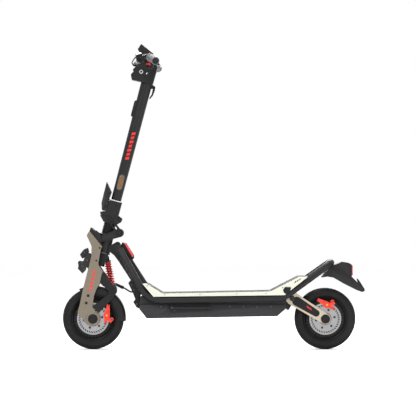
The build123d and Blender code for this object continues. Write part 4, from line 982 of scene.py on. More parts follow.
bm = bmesh.new()
mat_strip(bm, -294, 371, -106, 106, 3.5, 1.3)
mat_strip(bm, 371.5, 410, -58, 58, 3.5, 1.3)
piece("deck_mat_base", bm, DECK_RUBBER, "frame", 0.0004, 2, replaces=("deck_mat",))
bm = bmesh.new()
for row in range(15):
    y = -91 + 13 * row
    if abs(y) > 96:
        continue
    for x0, x1 in ((-288, -226), (-216, 240), (254, 366)):
        if x0 < 0 and x1 > 0:
            if abs(y) < 14:
                continue
        mat_strip(bm, x0, x1, y - 3.4, y + 3.4, 1.6, 0.0)
for y in (-102.5, 102.5):
    mat_strip(bm, -290, 368, y - 2.0, y + 2.0, 1.6, 0.0)
piece("deck_mat_ribs", bm, DECK_RUBBER, "frame", 0.0007, 2)
bm = bmesh.new()
for k in range(9):
    x0 = -196 + 46 * k
    for hand in (-1, 1):
        for step in range(4):
            y = hand * (3.0 + 2.5 * step)
            low_y, high_y = sorted((y, y + hand * 2.2))
            mat_strip(bm, x0 + 5 * step, x0 + 5 * step + 13, low_y, high_y, 1.6, 0.1)
piece("deck_mat_chevrons", bm, DECK_RUBBER, "frame", 0.0003, 1)

# Side covers with three plain dark marks near the rear.
dress("deck_side_covers", 0.0012, IVORY)
bm = bmesh.new()
for hand in (-1, 1):
    low, high = sorted((hand * 116.2, hand * 117.4))
    for shift in (0, 10, 20):
        prism(
            bm,
            [(350 + shift, 291.5 + shift * 0.62), (356 + shift, 294.5 + shift * 0.62),
             (362 + shift, 305.5 + shift * 0.5), (356 + shift, 303.0 + shift * 0.5)],
            low, high,
        )
piece("cover_marks", bm, BLACK_PLASTIC, "frame", 0.0002, 1)
bm = bmesh.new()
for hand in (-1, 1):
    for x, z in ((-290, 282), (-214, 243), (-60, 244), (100, 246.6), (228, 249), (300, 274), (392, 317.6)):
        if x < 390:
            screw(bm, Vector((x, hand * 117.0, z)) * MM, RIGHT * hand, 2.2, 0.6)
piece("cover_screws", bm, SCREW_STEEL, "frame")
dress("charge_port", 0.0004, BLACK_PLASTIC)
dress("charge_port_cap", 0.0011, SOFT_RUBBER)
bm = bmesh.new()
lathe(
    bm, Vector((318, -120.4, 262)) * MM, -RIGHT,
    [(11.4, -0.3), (11.4, 0.5), (9.8, 0.5), (9.8, -0.3)], 40, closed=True,
)
block(bm, Vector((318, -120.5, 262)) * MM, (9.0, 1.2, 1.8))
block(bm, Vector((318, -120.5, 262)) * MM, (1.8, 1.2, 9.0))
piece("charge_cap_ring", bm, SOFT_RUBBER, "charge_cap", 0.0002, 2)

# Rear pivot bracket, tail and its lamp.
dress("rear_pivot_bracket", 0.0015)
dress("rear_mudguard", 0.0090, BLACK_PLASTIC, 4, flat=1.0)
dress("tail_light_lens", 0.0024, RED_LENS, 4)
bm = bmesh.new()
prism(bm, [(602.5, 318.5), (606.5, 319.5), (606.5, 373.0), (602.5, 375.0)], -35.5, 35.5)
piece("tail_light_bezel", bm, BLACK_PLASTIC, "frame", 0.0016, 3)
bm = bmesh.new()
for k in range(8):
    z = 327.5 + 5.4 * k
    prism(bm, [(610.2, z), (611.6, z + 0.6), (611.6, z + 2.4), (610.2, z + 3.0)], -29.0, 29.0)
piece("tail_light_ribs", bm, RED_LENS, "frame", 0.0004, 2)
bm = bmesh.new()
prism(bm, [(638.6, 297.4), (661.8, 263.9), (664.0, 265.4), (640.9, 298.9)], -18.0, 18.0)
piece("tail_reflector", bm, RED_LENS, "frame", 0.0007, 2)

# Kickstand: a bent-looking leg with a rubber foot and its pivot block.
bm = bmesh.new()
leg_start = Vector((-183.7, -99.0, 185.2)) * MM
tube(bm, [leg_start + Vector((x, 0, 0)) * MM for x in (-7.5, 4, 40, 90, 140, 150)], 6.4, 28)
lathe(
    bm, leg_start + Vector((0, -6.2, 0)) * MM, RIGHT,
    [(0, 0), (6.0, 0), (6.2, 0.6), (6.2, 11.8), (6.0, 12.4), (0, 12.4)], 32,
)
piece("kickstand_bar", bm, CHARCOAL, "kickstand", 0.0008, 2, replaces=("kickstand_leg",))
bm = bmesh.new()
lathe(
    bm, leg_start + Vector((146, 0, 0)) * MM, Vector((1, 0, 0)),
    [(6.4, 0), (7.4, 0.8), (7.4, 5), (6.9, 6), (7.4, 7), (7.4, 11), (6.9, 12), (7.4, 13), (7.4, 20),
     (5.2, 23.4), (0, 24)], 32,
)
piece("kickstand_foot", bm, SOFT_RUBBER, "kickstand")
bm = bmesh.new()
screw(bm, leg_start + Vector((0, -6.2, 0)) * MM, -RIGHT, 4.4, 2.4)
piece("kickstand_bolt", bm, SCREW_STEEL, "kickstand")
bm = bmesh.new()
for shift in (-13, 12):
    screw(bm, Vector((-183.7 + shift, -91.0, 174.0)) * MM, -RIGHT, 2.8, 1.6)
piece("kickstand_plate_screws", bm, SCREW_STEEL, "frame")

# ---------------------------------------------------------------------------------------
# Front fork, column and torque link
# ---------------------------------------------------------------------------------------
def rounded(outline, radius, steps=5):
    """Side-view outline with an arc at each corner."""
    out = []
    count = len(outline)
    for i in range(count):
        before = Vector((*outline[i - 1], 0))
        here = Vector((*outline[i], 0))
        after = Vector((*outline[(i + 1) % count], 0))
        to_before = before - here
        to_after = after - here
        bend = to_before.angle(to_after) / 2
        cut = min(
            radius * cos(bend) / max(sin(bend), 1e-3), to_before.length * 0.45, to_after.length * 0.45
        )
        start = here + to_before.normalized() * cut
        end = here + to_after.normalized() * cut
        for step in range(steps + 1):
            t = step / steps
            point = start * (1 - t) ** 2 + here * 2 * t * (1 - t) + end * t * t
            out.append((point.x, point.y))
    return out


def hull_of_circles(first, first_radius, second, second_radius, steps=22):
    """Outline of two circles joined by their common tangents."""
    a = Vector((*first, 0))
    b = Vector((*second, 0))
    run = b - a
    angle = atan2(run.y, run.x)
    spread = pi / 2 - (first_radius - second_radius) / run.length
    out = []
    for i in range(steps + 1):
        turn = angle + spread + (2 * pi - 2 * spread) * i / steps
        out.append((a.x + first_radius * cos(turn), a.y + first_radius * sin(turn)))
    for i in range(steps + 1):
        turn = angle - spread + 2 * spread * i / steps
        out.append((b.x + second_radius * cos(turn), b.y + second_radius * sin(turn)))
    return out


def cap_bolt(bm, x, z, hand, inner, outer, radius, socket=0.45):
    """Round bolt head standing between two widths, with a socket in its face."""
    height = outer - inner
    floor = height - min(0.8, height * 0.4)
    lathe(
        bm, Vector((x, hand * inner, z)) * MM, RIGHT * hand,
        [
            (radius, 0), (radius, height - 0.5), (radius * 0.92, height),
            (radius * socket, height), (radius * socket, floor), (0, floor),
        ], 28,
    )


LEG_OUTLINE = [
    (-545, 522), (-556.5, 500.5), (-535, 453.5), (-536, 414), (-545, 372), (-555, 335), (-573, 265),
    (-588, 194), (-597, 164.5), (-556, 111), (-529, 102), (-504, 112), (-496, 137), (-531.5, 188.5),
    (-524, 238), (-514, 265), (-499, 289.5), (-490, 333), (-485, 341), (-504.5, 371), (-505, 382),
    (-493.5, 443), (-487.5, 450.6),
]
for hand, label in ((-1, "left"), (1, "right")):
    bm = bmesh.new()
    low, high = sorted((hand * 50.0, hand * 64.0))
    prism(bm, rounded(LEG_OUTLINE, 7), low, high)
    piece(
        label + "_fork_leg", bm, BRONZE, "fork", 0.0026, 4,
        replaces=("fork_legs",) if hand < 0 else (),
    )
    bm = bmesh.new()
    lathe(
        bm, FRONT_AXLE, RIGHT * hand,
        [
            (8.2, 50.4), (33, 50.4), (33, 63), (31.8, 64.4), (30, 64.8), (29.6, 67.6), (28.6, 69), (23, 69),
            (21, 67.6), (21, 63), (8.2, 63),
        ], 72, closed=True,
    )
    piece(label + "_fork_boss", bm, BRONZE, "fork", 0.0004, 2)
    bm = bmesh.new()
    for x, z, radius in ((-550, 237, 6.2), (-558, 205, 6.2), (-499, 446, 3.9), (-514, 391, 3.9)):
        cap_bolt(bm, x, z, hand, 62.5, 65.6, radius, 0.5)
    cap_bolt(bm, -443, 262, hand, 56.0, 59.6, 7.0)
    cap_bolt(bm, -497, 192, hand, 56.0, 59.2, 5.0)
    piece(label + "_fork_bolts", bm, BLACK_METAL, "fork", 0.0002, 2)
    bm = bmesh.new()
    prism(
        bm, rounded([(-554, 230), (-547, 228.5), (-551.5, 211), (-558, 212.5)], 2),
        *sorted((hand * 63.6, hand * 64.25)),
    )
    piece(label + "_fork_slot_cover", bm, BRONZE, "fork", 0.0002, 2)
    # Six slanting bars as a plain decoration on the leg's outer face.
    bm = bmesh.new()
    for i in range(6):
        share = i / 5
        cx, cz = -523.5 - 16 * share, 340 - 78 * share
        half = 7.6 - 1.6 * (i % 2)
        prism(
            bm,
            [
                (cx - half, cz + 1.5), (cx + half - 2, cz + 7), (cx + half, cz - 1.0),
                (cx - half + 2, cz - 6.5),
            ],
            *sorted((hand * 63.8, hand * 64.22)),
        )
    piece(label + "_fork_mark", bm, RED_PLASTIC, "fork", 0.0001, 1)

dress("fork_crowns", 0.0016, CHARCOAL)
dress("fork_braces", 0.0016, BLACK_METAL)
dress("front_mudguard", 0.0007, BLACK_PLASTIC, 2, 1.0)
dress("front_lamps", 0.0032, GREY_PLASTIC, 4)

# Shaped ribs on the brace plates and stiffening beads on the mudguard.
bm = bmesh.new()
for hand in (-1, 1):
    for ends in (((-489, 322), (-447, 268)), ((-512, 183), (-452, 240))):
        (x0, z0), (x1, z1) = ends
        centre = Vector(((x0 + x1) / 2, hand * 58.1, (z0 + z1) / 2)) * MM
        run = Vector((x1 - x0, 0, z1 - z0))
        block(bm, centre, (run.length, 5.0, 1.8), run, run.cross(RIGHT))
piece("brace_ribs", bm, BLACK_METAL, "fork", 0.0008, 3)
bm = bmesh.new()
for angle_deg in range(8, 104, 19):
    turn = radians(angle_deg)
    for hand in (-1, 1):
        screw(
            bm, FRONT_AXLE + Vector((cos(turn) * 0.1262, hand * 0.0457, sin(turn) * 0.1262)),
            RIGHT * hand, 2.6, 1.4,
        )
piece("mudguard_rivets", bm, BLACK_METAL, "fork")

# Lamp faces: a lens with its bezel in the lower housing and a horn grille in the upper.
bm = bmesh.new()
lens_out = Vector((-1, 0, 0.17)).normalized()
lens_centre = Vector((-592.5, 0, 364.5)) * MM
lathe(
    bm, lens_centre, lens_out, [(15, -3), (15, 2.0), (14, 3.0), (12.6, 3.0), (12.6, -3)], 48, closed=True
)
piece("lamp_bezel", bm, BLACK_METAL, "fork", 0.0003, 2)
bm = bmesh.new()
lathe(bm, lens_centre, lens_out, [(12.7, -2), (12.7, 1.4), (9, 2.2), (4, 2.6), (0, 2.7)], 48)
piece("lamp_lens", bm, CLEAR_LENS, "fork")
bm = bmesh.new()
horn_out = Vector((-0.78, 0, 0.62)).normalized()
for i in range(7):
    centre = Vector((-578.5, (i - 3) * 7.0, 428.0)) * MM + horn_out * 0.2 * MM
    block(bm, centre, (24, 3.0, 1.6), Vector((0.62, 0, 0.78)), RIGHT)
piece("horn_grille", bm, BLACK_METAL, "fork", 0.0006, 2)
bm = bmesh.new()
for hand in (-1, 1):
    for x, z in ((-566, 425), (-578, 366), (-569, 350)):
        half = 30 if z > 400 else 25
        screw(bm, Vector((x, hand * (half - 0.4), z)) * MM, RIGHT * hand, 3.2, 2.0)
    screw(bm, Vector((-553, hand * 49.4, 392)) * MM, RIGHT * hand, 4.0, 2.6)
piece("lamp_screws", bm, SCREW_STEEL, "fork")

dress("steering_column", 0.0012, BLACK_METAL)
bm = bmesh.new()
bellows = [(22.1, 0), (27, 0), (27, 3)]
for i in range(6):
    z = 4.5 + i * 6.6
    bellows += [(24.6, z), (24.6, z + 1.2), (27.4, z + 3.3), (27.4, z + 4.4)]
bellows += [(25, 44.5), (27, 46), (27, 48), (22.1, 48)]
lathe(bm, steer(0, 523), STEER_UP, bellows, 64, closed=True)
piece("column_bellows", bm, SOFT_RUBBER, "steering", 0.0003, 2, replaces=("column_boot",))

dress("fold_base", 0.0020, CHARCOAL)
bm = bmesh.new()
for hand in (-1, 1):
    cap_bolt(bm, -464, 579, hand, 33.8, 36.0, 8.6, 0.5)
    cap_bolt(bm, -411.9, 571, hand, 28.2, 30.0, 8.0, 0.5)
    cap_bolt(bm, -434.5, 586, hand, 27.6, 28.9, 3.4, 0.5)
piece("fold_base_bolts", bm, BLACK_METAL, "steering", 0.0002, 2)

dress("torque_link_lower", 0.0016, CHARCOAL)
bm = bmesh.new()
for hand in (-1, 1):
    cap_bolt(bm, -414.7, 510.8, hand, 42.6, 46.0, 10.5, 0.55)
    lathe(
        bm, Vector((-414.7, hand * 42.7, 510.8)) * MM, RIGHT * hand,
        [(11.4, 0), (15.6, 0), (15.6, 0.7), (14.9, 1.2), (12.1, 1.2), (11.4, 0.7)], 48, closed=True,
    )
piece("knee_bolt", bm, BLACK_METAL, "link_lower", 0.0002, 2)
bm = bmesh.new()
for hand in (-1, 1):
    block(
        bm, Vector((-467, hand * 43.1, 494)) * MM, (52, 13, 1.0), Vector((101.2, 0, 33.0)),
        Vector((-33.0, 0, 101.2)),
    )
piece("lower_link_pads", bm, CHARCOAL, "link_lower", 0.0012, 3)
dress("torque_link_upper", 0.0011, BLACK_METAL)


# ---------------------------------------------------------------------------------------
# Coil-over shocks, front and rear
# ---------------------------------------------------------------------------------------
def shock(label, top, bottom, seat, coil, wire, coils):
    top = Vector((top[0], 0, top[1])) * MM
    bottom = Vector((bottom[0], 0, bottom[1])) * MM
    length = (bottom - top).length / MM
    along = (bottom - top).normalized()
    body, shaft = label + "_shock_body", label + "_shock_shaft"
    dress(body, 0.0006, BLACK_METAL, 2, 2.0)
    dress(shaft, 0.0006, BLACK_METAL, 2, 2.0)
    bm = bmesh.new()
    rows = []
    for i in range(5):
        rows += [(seat, 20.4 + i * 0.7), (seat + 0.5, 20.75 + i * 0.7)]
    bore = coil - wire - 2
    lathe(bm, top, along, [(bore, 20.2), *rows, (seat, 23.9), (bore, 23.9)], 48, closed=True)
    piece(label + "_spring_collar", bm, GREY_METAL, body)
    bm = bmesh.new()
    lathe(
        bm, top, along,
        [
            (5.3, length - 21.2), (seat + 0.3, length - 21.2), (seat + 0.3, length - 17.4),
            (5.3, length - 16.6),
        ],
        48, closed=True,
    )
    piece(label + "_spring_seat", bm, GREY_METAL, shaft, 0.0004, 2)
    bm = bmesh.new()
    start = 24.2 + wire
    height = length - 45.6 - 2 * wire
    a, b = frame_axes(along)
    line = []
    total = coils + 1.6
    steps = int(total * 26)
    for i in range(steps + 1):
        turn = total * i / steps
        if turn < 0.8:
            rise = turn / 0.8 * 0.06
        elif turn > total - 0.8:
            rise = 1 - (total - turn) / 0.8 * 0.06
        else:
            rise = 0.06 + 0.88 * (turn - 0.8) / (total - 1.6)
        angle = 2 * pi * turn
        line.append(
            top + (a * cos(angle) + b * sin(angle)) * coil * MM + along * (start + height * rise) * MM
        )
    tube(bm, line, wire, 14)
    spring = piece(
        label + "_spring_coil", bm, SPRING_RED, body, replaces=(label + "_shock_spring",),
    )
    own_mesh(spring)


shock("front", (-472, 408), (-443, 262), 16.5, 14, 2.5, 8)
shock("rear", (240, 226), (346, 283), 14.5, 12.5, 2.3, 6)
# ---------------------------------------------------------------------------------------
# Stem, folding joint and handlebar
# ---------------------------------------------------------------------------------------
GRIP_RUBBER = surface(
    "grip_rubber", (0.060, 0.061, 0.064), 0.42, 0.0, 0.10, 900, 0.25, 0.0002,
    wear=(0.14, 0.14, 0.145), wear_amount=0.5, specular=0.5,
)


def stem_radius(along):
    return 22.4 + (along - 640.0) * 3.1 / 595.0


bm = bmesh.new()
profile = [(19.5, 640.0), (22.4, 640.0)]
profile += [(stem_radius(640 + i * 35) , 640.0 + i * 35) for i in range(1, 17)]
profile += [(25.5, 1235.0), (22.5, 1235.0)]
lathe(bm, steer(0, 0), STEER_UP, profile, 72, closed=True)
piece("stem_column", bm, CHARCOAL, "stem", replaces=("stem_tube",))


def stem_patch(bm, low, high, centre, half, hand, lift, slant=0.0):
    """Thin plate laid on the stem's side, between two distances along it, in mm."""
    rows, cols = 10, 8
    grid = []
    for layer in (0.0, 1.0):
        rings = []
        for i in range(rows + 1):
            along = low + (high - low) * i / rows
            ring = []
            for j in range(cols + 1):
                share = 2 * j / cols - 1
                width = centre + half * share
                reach = stem_radius(along) - 0.6 + (lift + 0.6) * layer
                angle = width / stem_radius(along)
                ring.append(
                    bm.verts.new(
                        steer(reach * sin(angle), along + slant * share, hand * reach * cos(angle))
                    )
                )
            rings.append(ring)
        grid.append(rings)
    for i in range(rows):
        for j in range(cols):
            for layer in (0, 1):
                g = grid[layer]
                bm.faces.new((g[i][j], g[i][j + 1], g[i + 1][j + 1], g[i + 1][j]))
    low_layer, high_layer = grid
    rim = [(0, j) for j in range(cols)] + [(i, cols) for i in range(rows)]
    rim += [(rows, j) for j in range(cols, 0, -1)] + [(i, 0) for i in range(rows, 0, -1)]
    for k in range(len(rim)):
        (i0, j0), (i1, j1) = rim[k], rim[(k + 1) % len(rim)]
        bm.faces.new((low_layer[i0][j0], low_layer[i1][j1], high_layer[i1][j1], high_layer[i0][j0]))


def stem_stadium(bm, low, high, half, base, top, hand):
    """Plate with round ends, standing off the stem's side."""
    outline = [(half * sin(a), low + half - half * cos(a)) for a in (pi * (i / 12 - 0.5) for i in range(13))]
    outline += [
        (-half * sin(a), high - half + half * cos(a)) for a in (pi * (i / 12 - 0.5) for i in range(13))
    ]
    steer_prism(bm, outline, *sorted((hand * base, hand * top)))


# Seven plain slanting bars on each side, a reflector in its frame and the cover bolts.
bm = bmesh.new()
for hand in (-1, 1):
    for i in range(7):
        low = 862 + i * 18.6
        stem_patch(bm, low, low + 11.5, 1.0, 7.6 - 1.4 * (i % 2), hand, 0.35, 2.4)
piece("stem_marks", bm, RED_PLASTIC, "stem")
for hand, label in ((-1, "left"), (1, "right")):
    bm = bmesh.new()
    stem_stadium(bm, 724, 793, 12.0, 16.0, 24.2, hand)
    piece(label + "_reflector_frame", bm, GREY_METAL, "stem", 0.0010, 3)
    bm = bmesh.new()
    stem_stadium(bm, 727, 789, 9.6, 18.0, 25.2, hand)
    piece(label + "_reflector", bm, AMBER_LENS, "stem", 0.0008, 3)
bm = bmesh.new()
for hand in (-1, 1):
    for behind, along in ((-9, 1177), (-9, 1156)):
        reach = sqrt(stem_radius(along) ** 2 - behind ** 2)
        base = steer(behind, along, hand * (reach - 1.2))
        lathe(
            bm, base, RIGHT * hand,
            [(6.4, -2), (6.4, 2.0), (5.8, 2.6), (3.2, 2.6), (3.2, 1.6), (0, 1.6)], 28,
        )
piece("stem_bolts", bm, BLACK_METAL, "stem")

# Port cover down the stem's front and the hook's mount behind it.
bm = bmesh.new()
steer_prism(
    bm,
    rounded([(-20, 1050), (-29, 1051), (-32, 1056), (-32, 1118), (-29, 1124), (-20, 1125)], 2),
    -14, 14,
)
piece("stem_front_cover", bm, BLACK_PLASTIC, "stem", 0.0030, 4)
bm = bmesh.new()
for i in range(5):
    block(bm, steer(-32.0, 1066 + i * 11), (1.0, 20, 4), STEER_BACK, RIGHT)
piece("cover_ribs", bm, BLACK_PLASTIC, "stem", 0.0004, 2)
bm = bmesh.new()
for hand in (-1, 1):
    steer_prism(
        bm, rounded([(20, 1188), (34, 1193), (42, 1196), (42, 1202), (34, 1207), (20, 1208)], 2),
        *sorted((hand * 7.1, hand * 12.0)),
    )
    lathe(
        bm, steer(36, 1199, hand * 11.8), RIGHT * hand, [(3.4, 0), (3.4, 0.8), (2.6, 1.4), (0, 1.4)], 20
    )
lathe(bm, steer(36, 1199, -7.2), RIGHT, [(2.95, 0), (2.95, 14.4)], 20)
piece("hook_mount", bm, BLACK_METAL, "stem", 0.0006, 2)

dress("fold_knuckle", 0.0018, CHARCOAL, 4)
bm = bmesh.new()
steer_prism(
    bm,
    [
        (-40, 615.6), (-27, 615.6), (-27, 668), (-29.9, 668), (-29.9, 622.5), (-33, 618.6), (-40, 617.6),
    ], -23, 23,
)
piece("lever_stop_pad", bm, SOFT_RUBBER, "stem", 0.0004, 2)
# Dark block filling the seam between the fold base and the knuckle: painted shade standing in for the
# shadowed gap, not a real gasket.
bm = bmesh.new()
steer_prism(bm, [(-45, 596), (40, 596), (40, 600.35), (-45, 600.35)], -25.5, 25.5)
piece("fold_seam_painted_shade", bm, SOFT_RUBBER, "steering")
bm = bmesh.new()
collar = rounded([(-29.3, -29.3), (29.3, -29.3), (29.3, 29.3), (-29.3, 29.3)], 5)
low = [bm.verts.new(steer(s, 672.2, y)) for s, y in collar]
high = [bm.verts.new(steer(s, 676.2, y)) for s, y in collar]
bm.faces.new(low)
bm.faces.new(list(reversed(high)))
for i in range(len(collar)):
    j = (i + 1) % len(collar)
    bm.faces.new((low[i], low[j], high[j], high[i]))
piece("stem_collar", bm, ALUMINIUM, "stem", 0.0008, 3)
bm = bmesh.new()
for hand in (-1, 1):
    cap_bolt(bm, -478.5, 601.5, hand, 27.4, 29.4, 5.2, 0.5)
    cap_bolt(bm, -430, 632, hand, 27.6, 29.2, 3.6, 0.5)
    cap_bolt(bm, -455, 606, hand, 27.6, 29.2, 3.6, 0.5)
piece("knuckle_bolts", bm, BLACK_METAL, "stem", 0.0002, 2)

dress("fold_lever", 0.0026, CHARCOAL, 4)
bm = bmesh.new()
for hand in (-1, 1):
    cap_bolt(bm, -457, 686.5, hand, 23.6, 25.4, 5.4, 0.5)
    cap_bolt(bm, -476.5, 628.5, hand, 23.6, 25.6, 6.4, 0.5)
piece("lever_bolts", bm, BLACK_METAL, "fold_lever", 0.0002, 2)
bm = bmesh.new()
for i in range(4):
    block(bm, steer(-60.0 + i * 0.25, 690 + i * 9), (1.6, 30, 3.2), STEER_BACK, RIGHT)
piece("lever_grip_ribs", bm, SOFT_RUBBER, "fold_lever", 0.0006, 2)

# Handlebar, clamp sleeve and grips.
tip = Vector((-251, -305, 1252)) * MM
bend = Vector((-280, -165, 1277)) * MM
shoulder = Vector((-291, -62, 1276)) * MM


def mirrored(point):
    return Vector((point.x, -point.y, point.z))


bm = bmesh.new()
tube(
    bm,
    bend_line([tip, bend, shoulder, mirrored(shoulder), mirrored(bend), mirrored(tip)], [60, 60, 60, 60], 8),
    11.1, 32,
)
lathe(
    bm, Vector((-291, -55, 1276)) * MM, RIGHT,
    [(11.2, 0), (15.0, 0), (15.9, 0.9), (15.9, 109.1), (15.0, 110), (11.2, 110)], 48, closed=True,
)
piece("bar_tube", bm, BLACK_METAL, "stem", replaces=("handlebar",))
inward = (bend - tip).normalized()
for hand, label in ((-1, "left"), (1, "right")):
    base = tip if hand < 0 else mirrored(tip)
    run = inward if hand < 0 else mirrored(inward)
    bm = bmesh.new()
    rows = [(11.2, -4), (15.6, -4), (17.5, -2.6), (17.5, 0.6), (16.0, 2.0)]
    for i in range(26):
        z = 6 + i * 4.2
        rows += [(16.0, z), (15.3, z + 0.5), (15.3, z + 1.1), (16.0, z + 1.6)]
    rows += [(16.0, 116.5), (18.0, 118), (18.0, 121.4), (17.2, 122), (11.2, 122)]
    lathe(bm, base, run, rows, 48, closed=True)
    piece(label + "_grip", bm, GRIP_RUBBER, "stem", replaces=("grips",) if hand < 0 else ())
    bm = bmesh.new()
    lathe(
        bm, base, run,
        [
            (14.2, -3), (14.2, -4.9), (13.4, -5.5), (9.8, -5.5), (9.2, -4.7), (5.0, -4.7), (4.4, -5.5),
            (0, -5.5),
        ], 40,
    )
    piece(label + "_bar_end", bm, BLACK_METAL, "stem")

# Display with its screen, and the head with its lamp, key ring and marks.
dress("display_housing", 0.0012, CHARCOAL, 3)
face_run = Vector((56, 0, -45)).normalized()
face_out = Vector((45, 0, 56)).normalized()
bm = bmesh.new()
block(bm, Vector((-318, 0, 1341)) * MM + face_run * 25 * MM, (37, 74, 1.2), face_run, RIGHT)
piece("display_screen", bm, GLOSS_BLACK, "stem", 0.0005, 3)
bm = bmesh.new()
for i, (across, run_at, wide) in enumerate(((0, 18, 26), (-22, 34, 12), (0, 34, 12), (22, 34, 12))):
    centre = Vector((-318, 0, 1341)) * MM + (face_run * run_at + face_out * 0.7 + RIGHT * across) * MM
    block(bm, centre, (11 if i == 0 else 3, wide, 0.3), face_run, RIGHT)
piece("display_segments", bm, PALE_PLASTIC, "stem")
dress("stem_head", 0.0022, CHARCOAL, 4)
bm = bmesh.new()
lens_run = Vector((4, 0, -24)).normalized()
block(bm, Vector((-362.4, 0, 1196)) * MM, (19, 52, 1.6), lens_run, RIGHT)
piece("head_lamp_lens", bm, CLEAR_LENS, "stem", 0.0006, 3)
bm = bmesh.new()
for hand in (-1, 1):
    lathe(
        bm, Vector((-318.5, hand * 36.4, 1219.5)) * MM, RIGHT * hand,
        [(4.6, 0), (8.6, 0), (8.6, 1.4), (8.0, 2.0), (5.2, 2.0), (4.6, 1.4)], 40, closed=True,
    )
piece("key_ring", bm, ALUMINIUM, "stem")
bm = bmesh.new()
for hand in (-1, 1):
    lathe(
        bm, Vector((-318.5, hand * 36.4, 1219.5)) * MM, RIGHT * hand,
        [(5.0, 0), (5.0, 0.9), (0, 0.9)], 32,
    )
    for x, z in ((-349, 1214), (-340, 1193), (-262, 1235), (-276, 1176)):
        screw(bm, Vector((x, hand * 36.6, z)) * MM, RIGHT * hand, 3.0, 1.4)
    block(bm, Vector((-334, hand * 37.0, 1243)) * MM, (22, 1.2, 4), Vector((0.35, 0, 0.93)), RIGHT)
    block(bm, Vector((-326, hand * 37.0, 1262)) * MM, (22, 1.2, 4), Vector((0.35, 0, 0.93)), RIGHT)
piece("head_details", bm, BLACK_METAL, "stem", 0.0003, 2)
bm = bmesh.new()
for hand in (-1, 1):
    block(bm, Vector((-293.8, hand * 37.0, 1212)) * MM, (9, 0.7, 3), Vector((0.7, 0, 0.72)), RIGHT)
piece("head_mark", bm, PALE_PLASTIC, "stem", 0.0002, 2)

dress("brake_masters", 0.0012, BLACK_METAL)
dress("left_brake_lever", 0.0018, BLACK_METAL)
dress("right_brake_lever", 0.0018, BLACK_METAL)
dress("control_pods", 0.0014, BLACK_PLASTIC)
dress("throttle_lever", 0.0014, RED_PLASTIC if node_slot["throttle_lever"] == "red_plastic" else None)
bm = bmesh.new()
block(bm, Vector((-288.2, -153.9, 1247)) * MM, (12.6, 3.0, 5.4))
block(bm, Vector((-278.7, -154.1, 1247)) * MM, (6.4, 3.4, 12.6))
block(bm, Vector((-285, -151, 1249)) * MM, (9.6, 3.4, 5.6))
piece("thumb_switch", bm, RED_PLASTIC, node_body["pod_switch"], 0.0009, 3, replaces=("pod_switch",))
dress("power_button", 0.0006, RED_PLASTIC)
dress("bag_hook", 0.0018, BLACK_METAL)

# Reservoir caps with their screws, and hoses from the masters into the head.
forward = Vector((-1, 0, -0.22))
forward = (forward - inward * forward.dot(inward)).normalized()
lever_up = forward.cross(inward * -1)
for hand, label in ((-1, "left"), (1, "right")):
    def place(out, back, up):
        offset = inward * -out + lever_up.cross(inward * -1) * back + lever_up * up
        point = tip + inward * 131 * MM + offset * MM
        return point if hand < 0 else mirrored(point)

    axis = lever_up if hand < 0 else mirrored(lever_up)
    across = inward if hand < 0 else mirrored(inward)
    bm = bmesh.new()
    block(bm, place(-18, -42, 24.2), (33, 25, 2.0), across, axis.cross(across))
    piece(label + "_reservoir_cap", bm, PALE_PLASTIC, "stem", 0.0009, 3)
    bm = bmesh.new()
    for out in (-29, -7):
        screw(bm, place(out, -42, 25.0), axis, 2.4, 1.2)
    piece(label + "_reservoir_screws", bm, SCREW_STEEL, "stem")
    bm = bmesh.new()
    start = place(-33, -46, 10)
    line = catmull(
        [
            start, start + across * 16 * MM + Vector((-3, 0, 1)) * MM,
            Vector((-354, hand * 96, 1262)) * MM, Vector((-356, hand * 58, 1252)) * MM,
            Vector((-340, hand * 34, 1246)) * MM,
        ], 10,
    )
    tube(bm, line, 2.4, 14)
    piece(label + "_brake_hose", bm, SOFT_RUBBER, "stem")
    bm = bmesh.new()
    direction = (start - line[2]).normalized()
    lathe(bm, start - direction * 9 * MM, direction, [(3.4, 0), (3.4, 10), (2.4, 11)], 6)
    lathe(
        bm, Vector((-344, hand * 38, 1248)) * MM, Vector((0.5, -hand, 0.1)),
        [(2.4, 0), (3.8, 0.5), (3.8, 8), (0, 8)], 16,
    )
    piece(label + "_hose_fittings", bm, BLACK_METAL, "stem")
    bm = bmesh.new()
    line = catmull(
        [
            Vector((-296, hand * 132, 1256)) * MM, Vector((-306, hand * 112, 1258)) * MM,
            Vector((-310, hand * 76, 1262)) * MM, Vector((-304, hand * 50, 1262)) * MM,
            Vector((-300, hand * 35, 1262)) * MM,
        ], 10,
    )
    tube(bm, line, 2.0, 12)
    piece(label + "_control_wire", bm, SOFT_RUBBER, "stem")

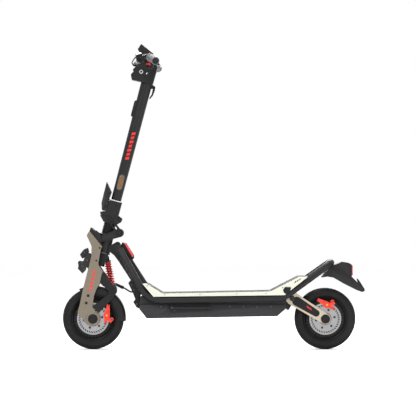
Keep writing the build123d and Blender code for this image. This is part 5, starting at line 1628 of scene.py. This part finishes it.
# ---------------------------------------------------------------------------------------
# Rear arm and the front motor's lead
# ---------------------------------------------------------------------------------------
dress("rear_swing_arm", 0.0022, CHAMPAGNE, 4)
for hand, label in ((-1, "left"), (1, "right")):
    bm = bmesh.new()
    prism(
        bm, hull_of_circles((364, 212.4), 20.5, (449, 160.0), 15.0, 26),
        *sorted((hand * 58.4, hand * 62.3)),
    )
    piece(label + "_arm_inset", bm, BLACK_PLASTIC, "rear_arm", 0.0003, 2)
    bm = bmesh.new()
    for i in range(4):
        cx, cz = 410 + i * 5.2, 187.5 - i * 3.2
        prism(
            bm, [(cx - 3.4, cz + 4.4), (cx - 0.6, cz + 5.2), (cx + 3.4, cz - 4.0), (cx + 0.8, cz - 5.2)],
            *sorted((hand * 62.1, hand * 62.6)),
        )
    piece(label + "_arm_mark", bm, RED_PLASTIC, "rear_arm", 0.0001, 1)
    bm = bmesh.new()
    lathe(
        bm, REAR_AXLE + Vector((0, hand * 0.0618, 0)), RIGHT * hand,
        [(17, 0), (21.5, 0), (21.5, 0.8), (20.6, 1.5), (18, 1.5), (17, 0.8)], 56, closed=True,
    )
    piece(label + "_arm_axle_ring", bm, CHAMPAGNE, "rear_arm")

bm = bmesh.new()
lead = catmull(
    [
        Vector(p) * MM for p in (
            (-477, 26, 398), (-474, 39, 372), (-463, 41, 335), (-453, 34, 303), (-441, 28, 288),
            (-396, 28, 268), (-368, 28, 252), (-350, 28, 250),
        )
    ], 12,
)
tube(bm, lead, 3.4, 16)
plug_run = Vector((45, 0, -20)).normalized()
plug = Vector((-441, 28, 288)) * MM
rows = [(3, 0), (5.6, 0.6)]
for i in range(9):
    z = 3 + i * 3.3
    rows += [(6.8, z), (6.8, z + 1.9), (5.7, z + 2.1), (5.7, z + 3.1)]
rows += [(7.0, 34), (7.0, 45), (6.2, 46), (5.0, 48.6), (3, 49)]
lathe(bm, plug, plug_run, rows, 32)
motor_lead = piece("motor_lead", bm, SOFT_RUBBER, None, replaces=("motor_cable",))
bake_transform(motor_lead)
for node, obj in nodes.items():
    if not obj.hide_render:
        obj.data.materials.clear()
        obj.data.materials.append(SLOT_MATERIAL[node_slot[node]])
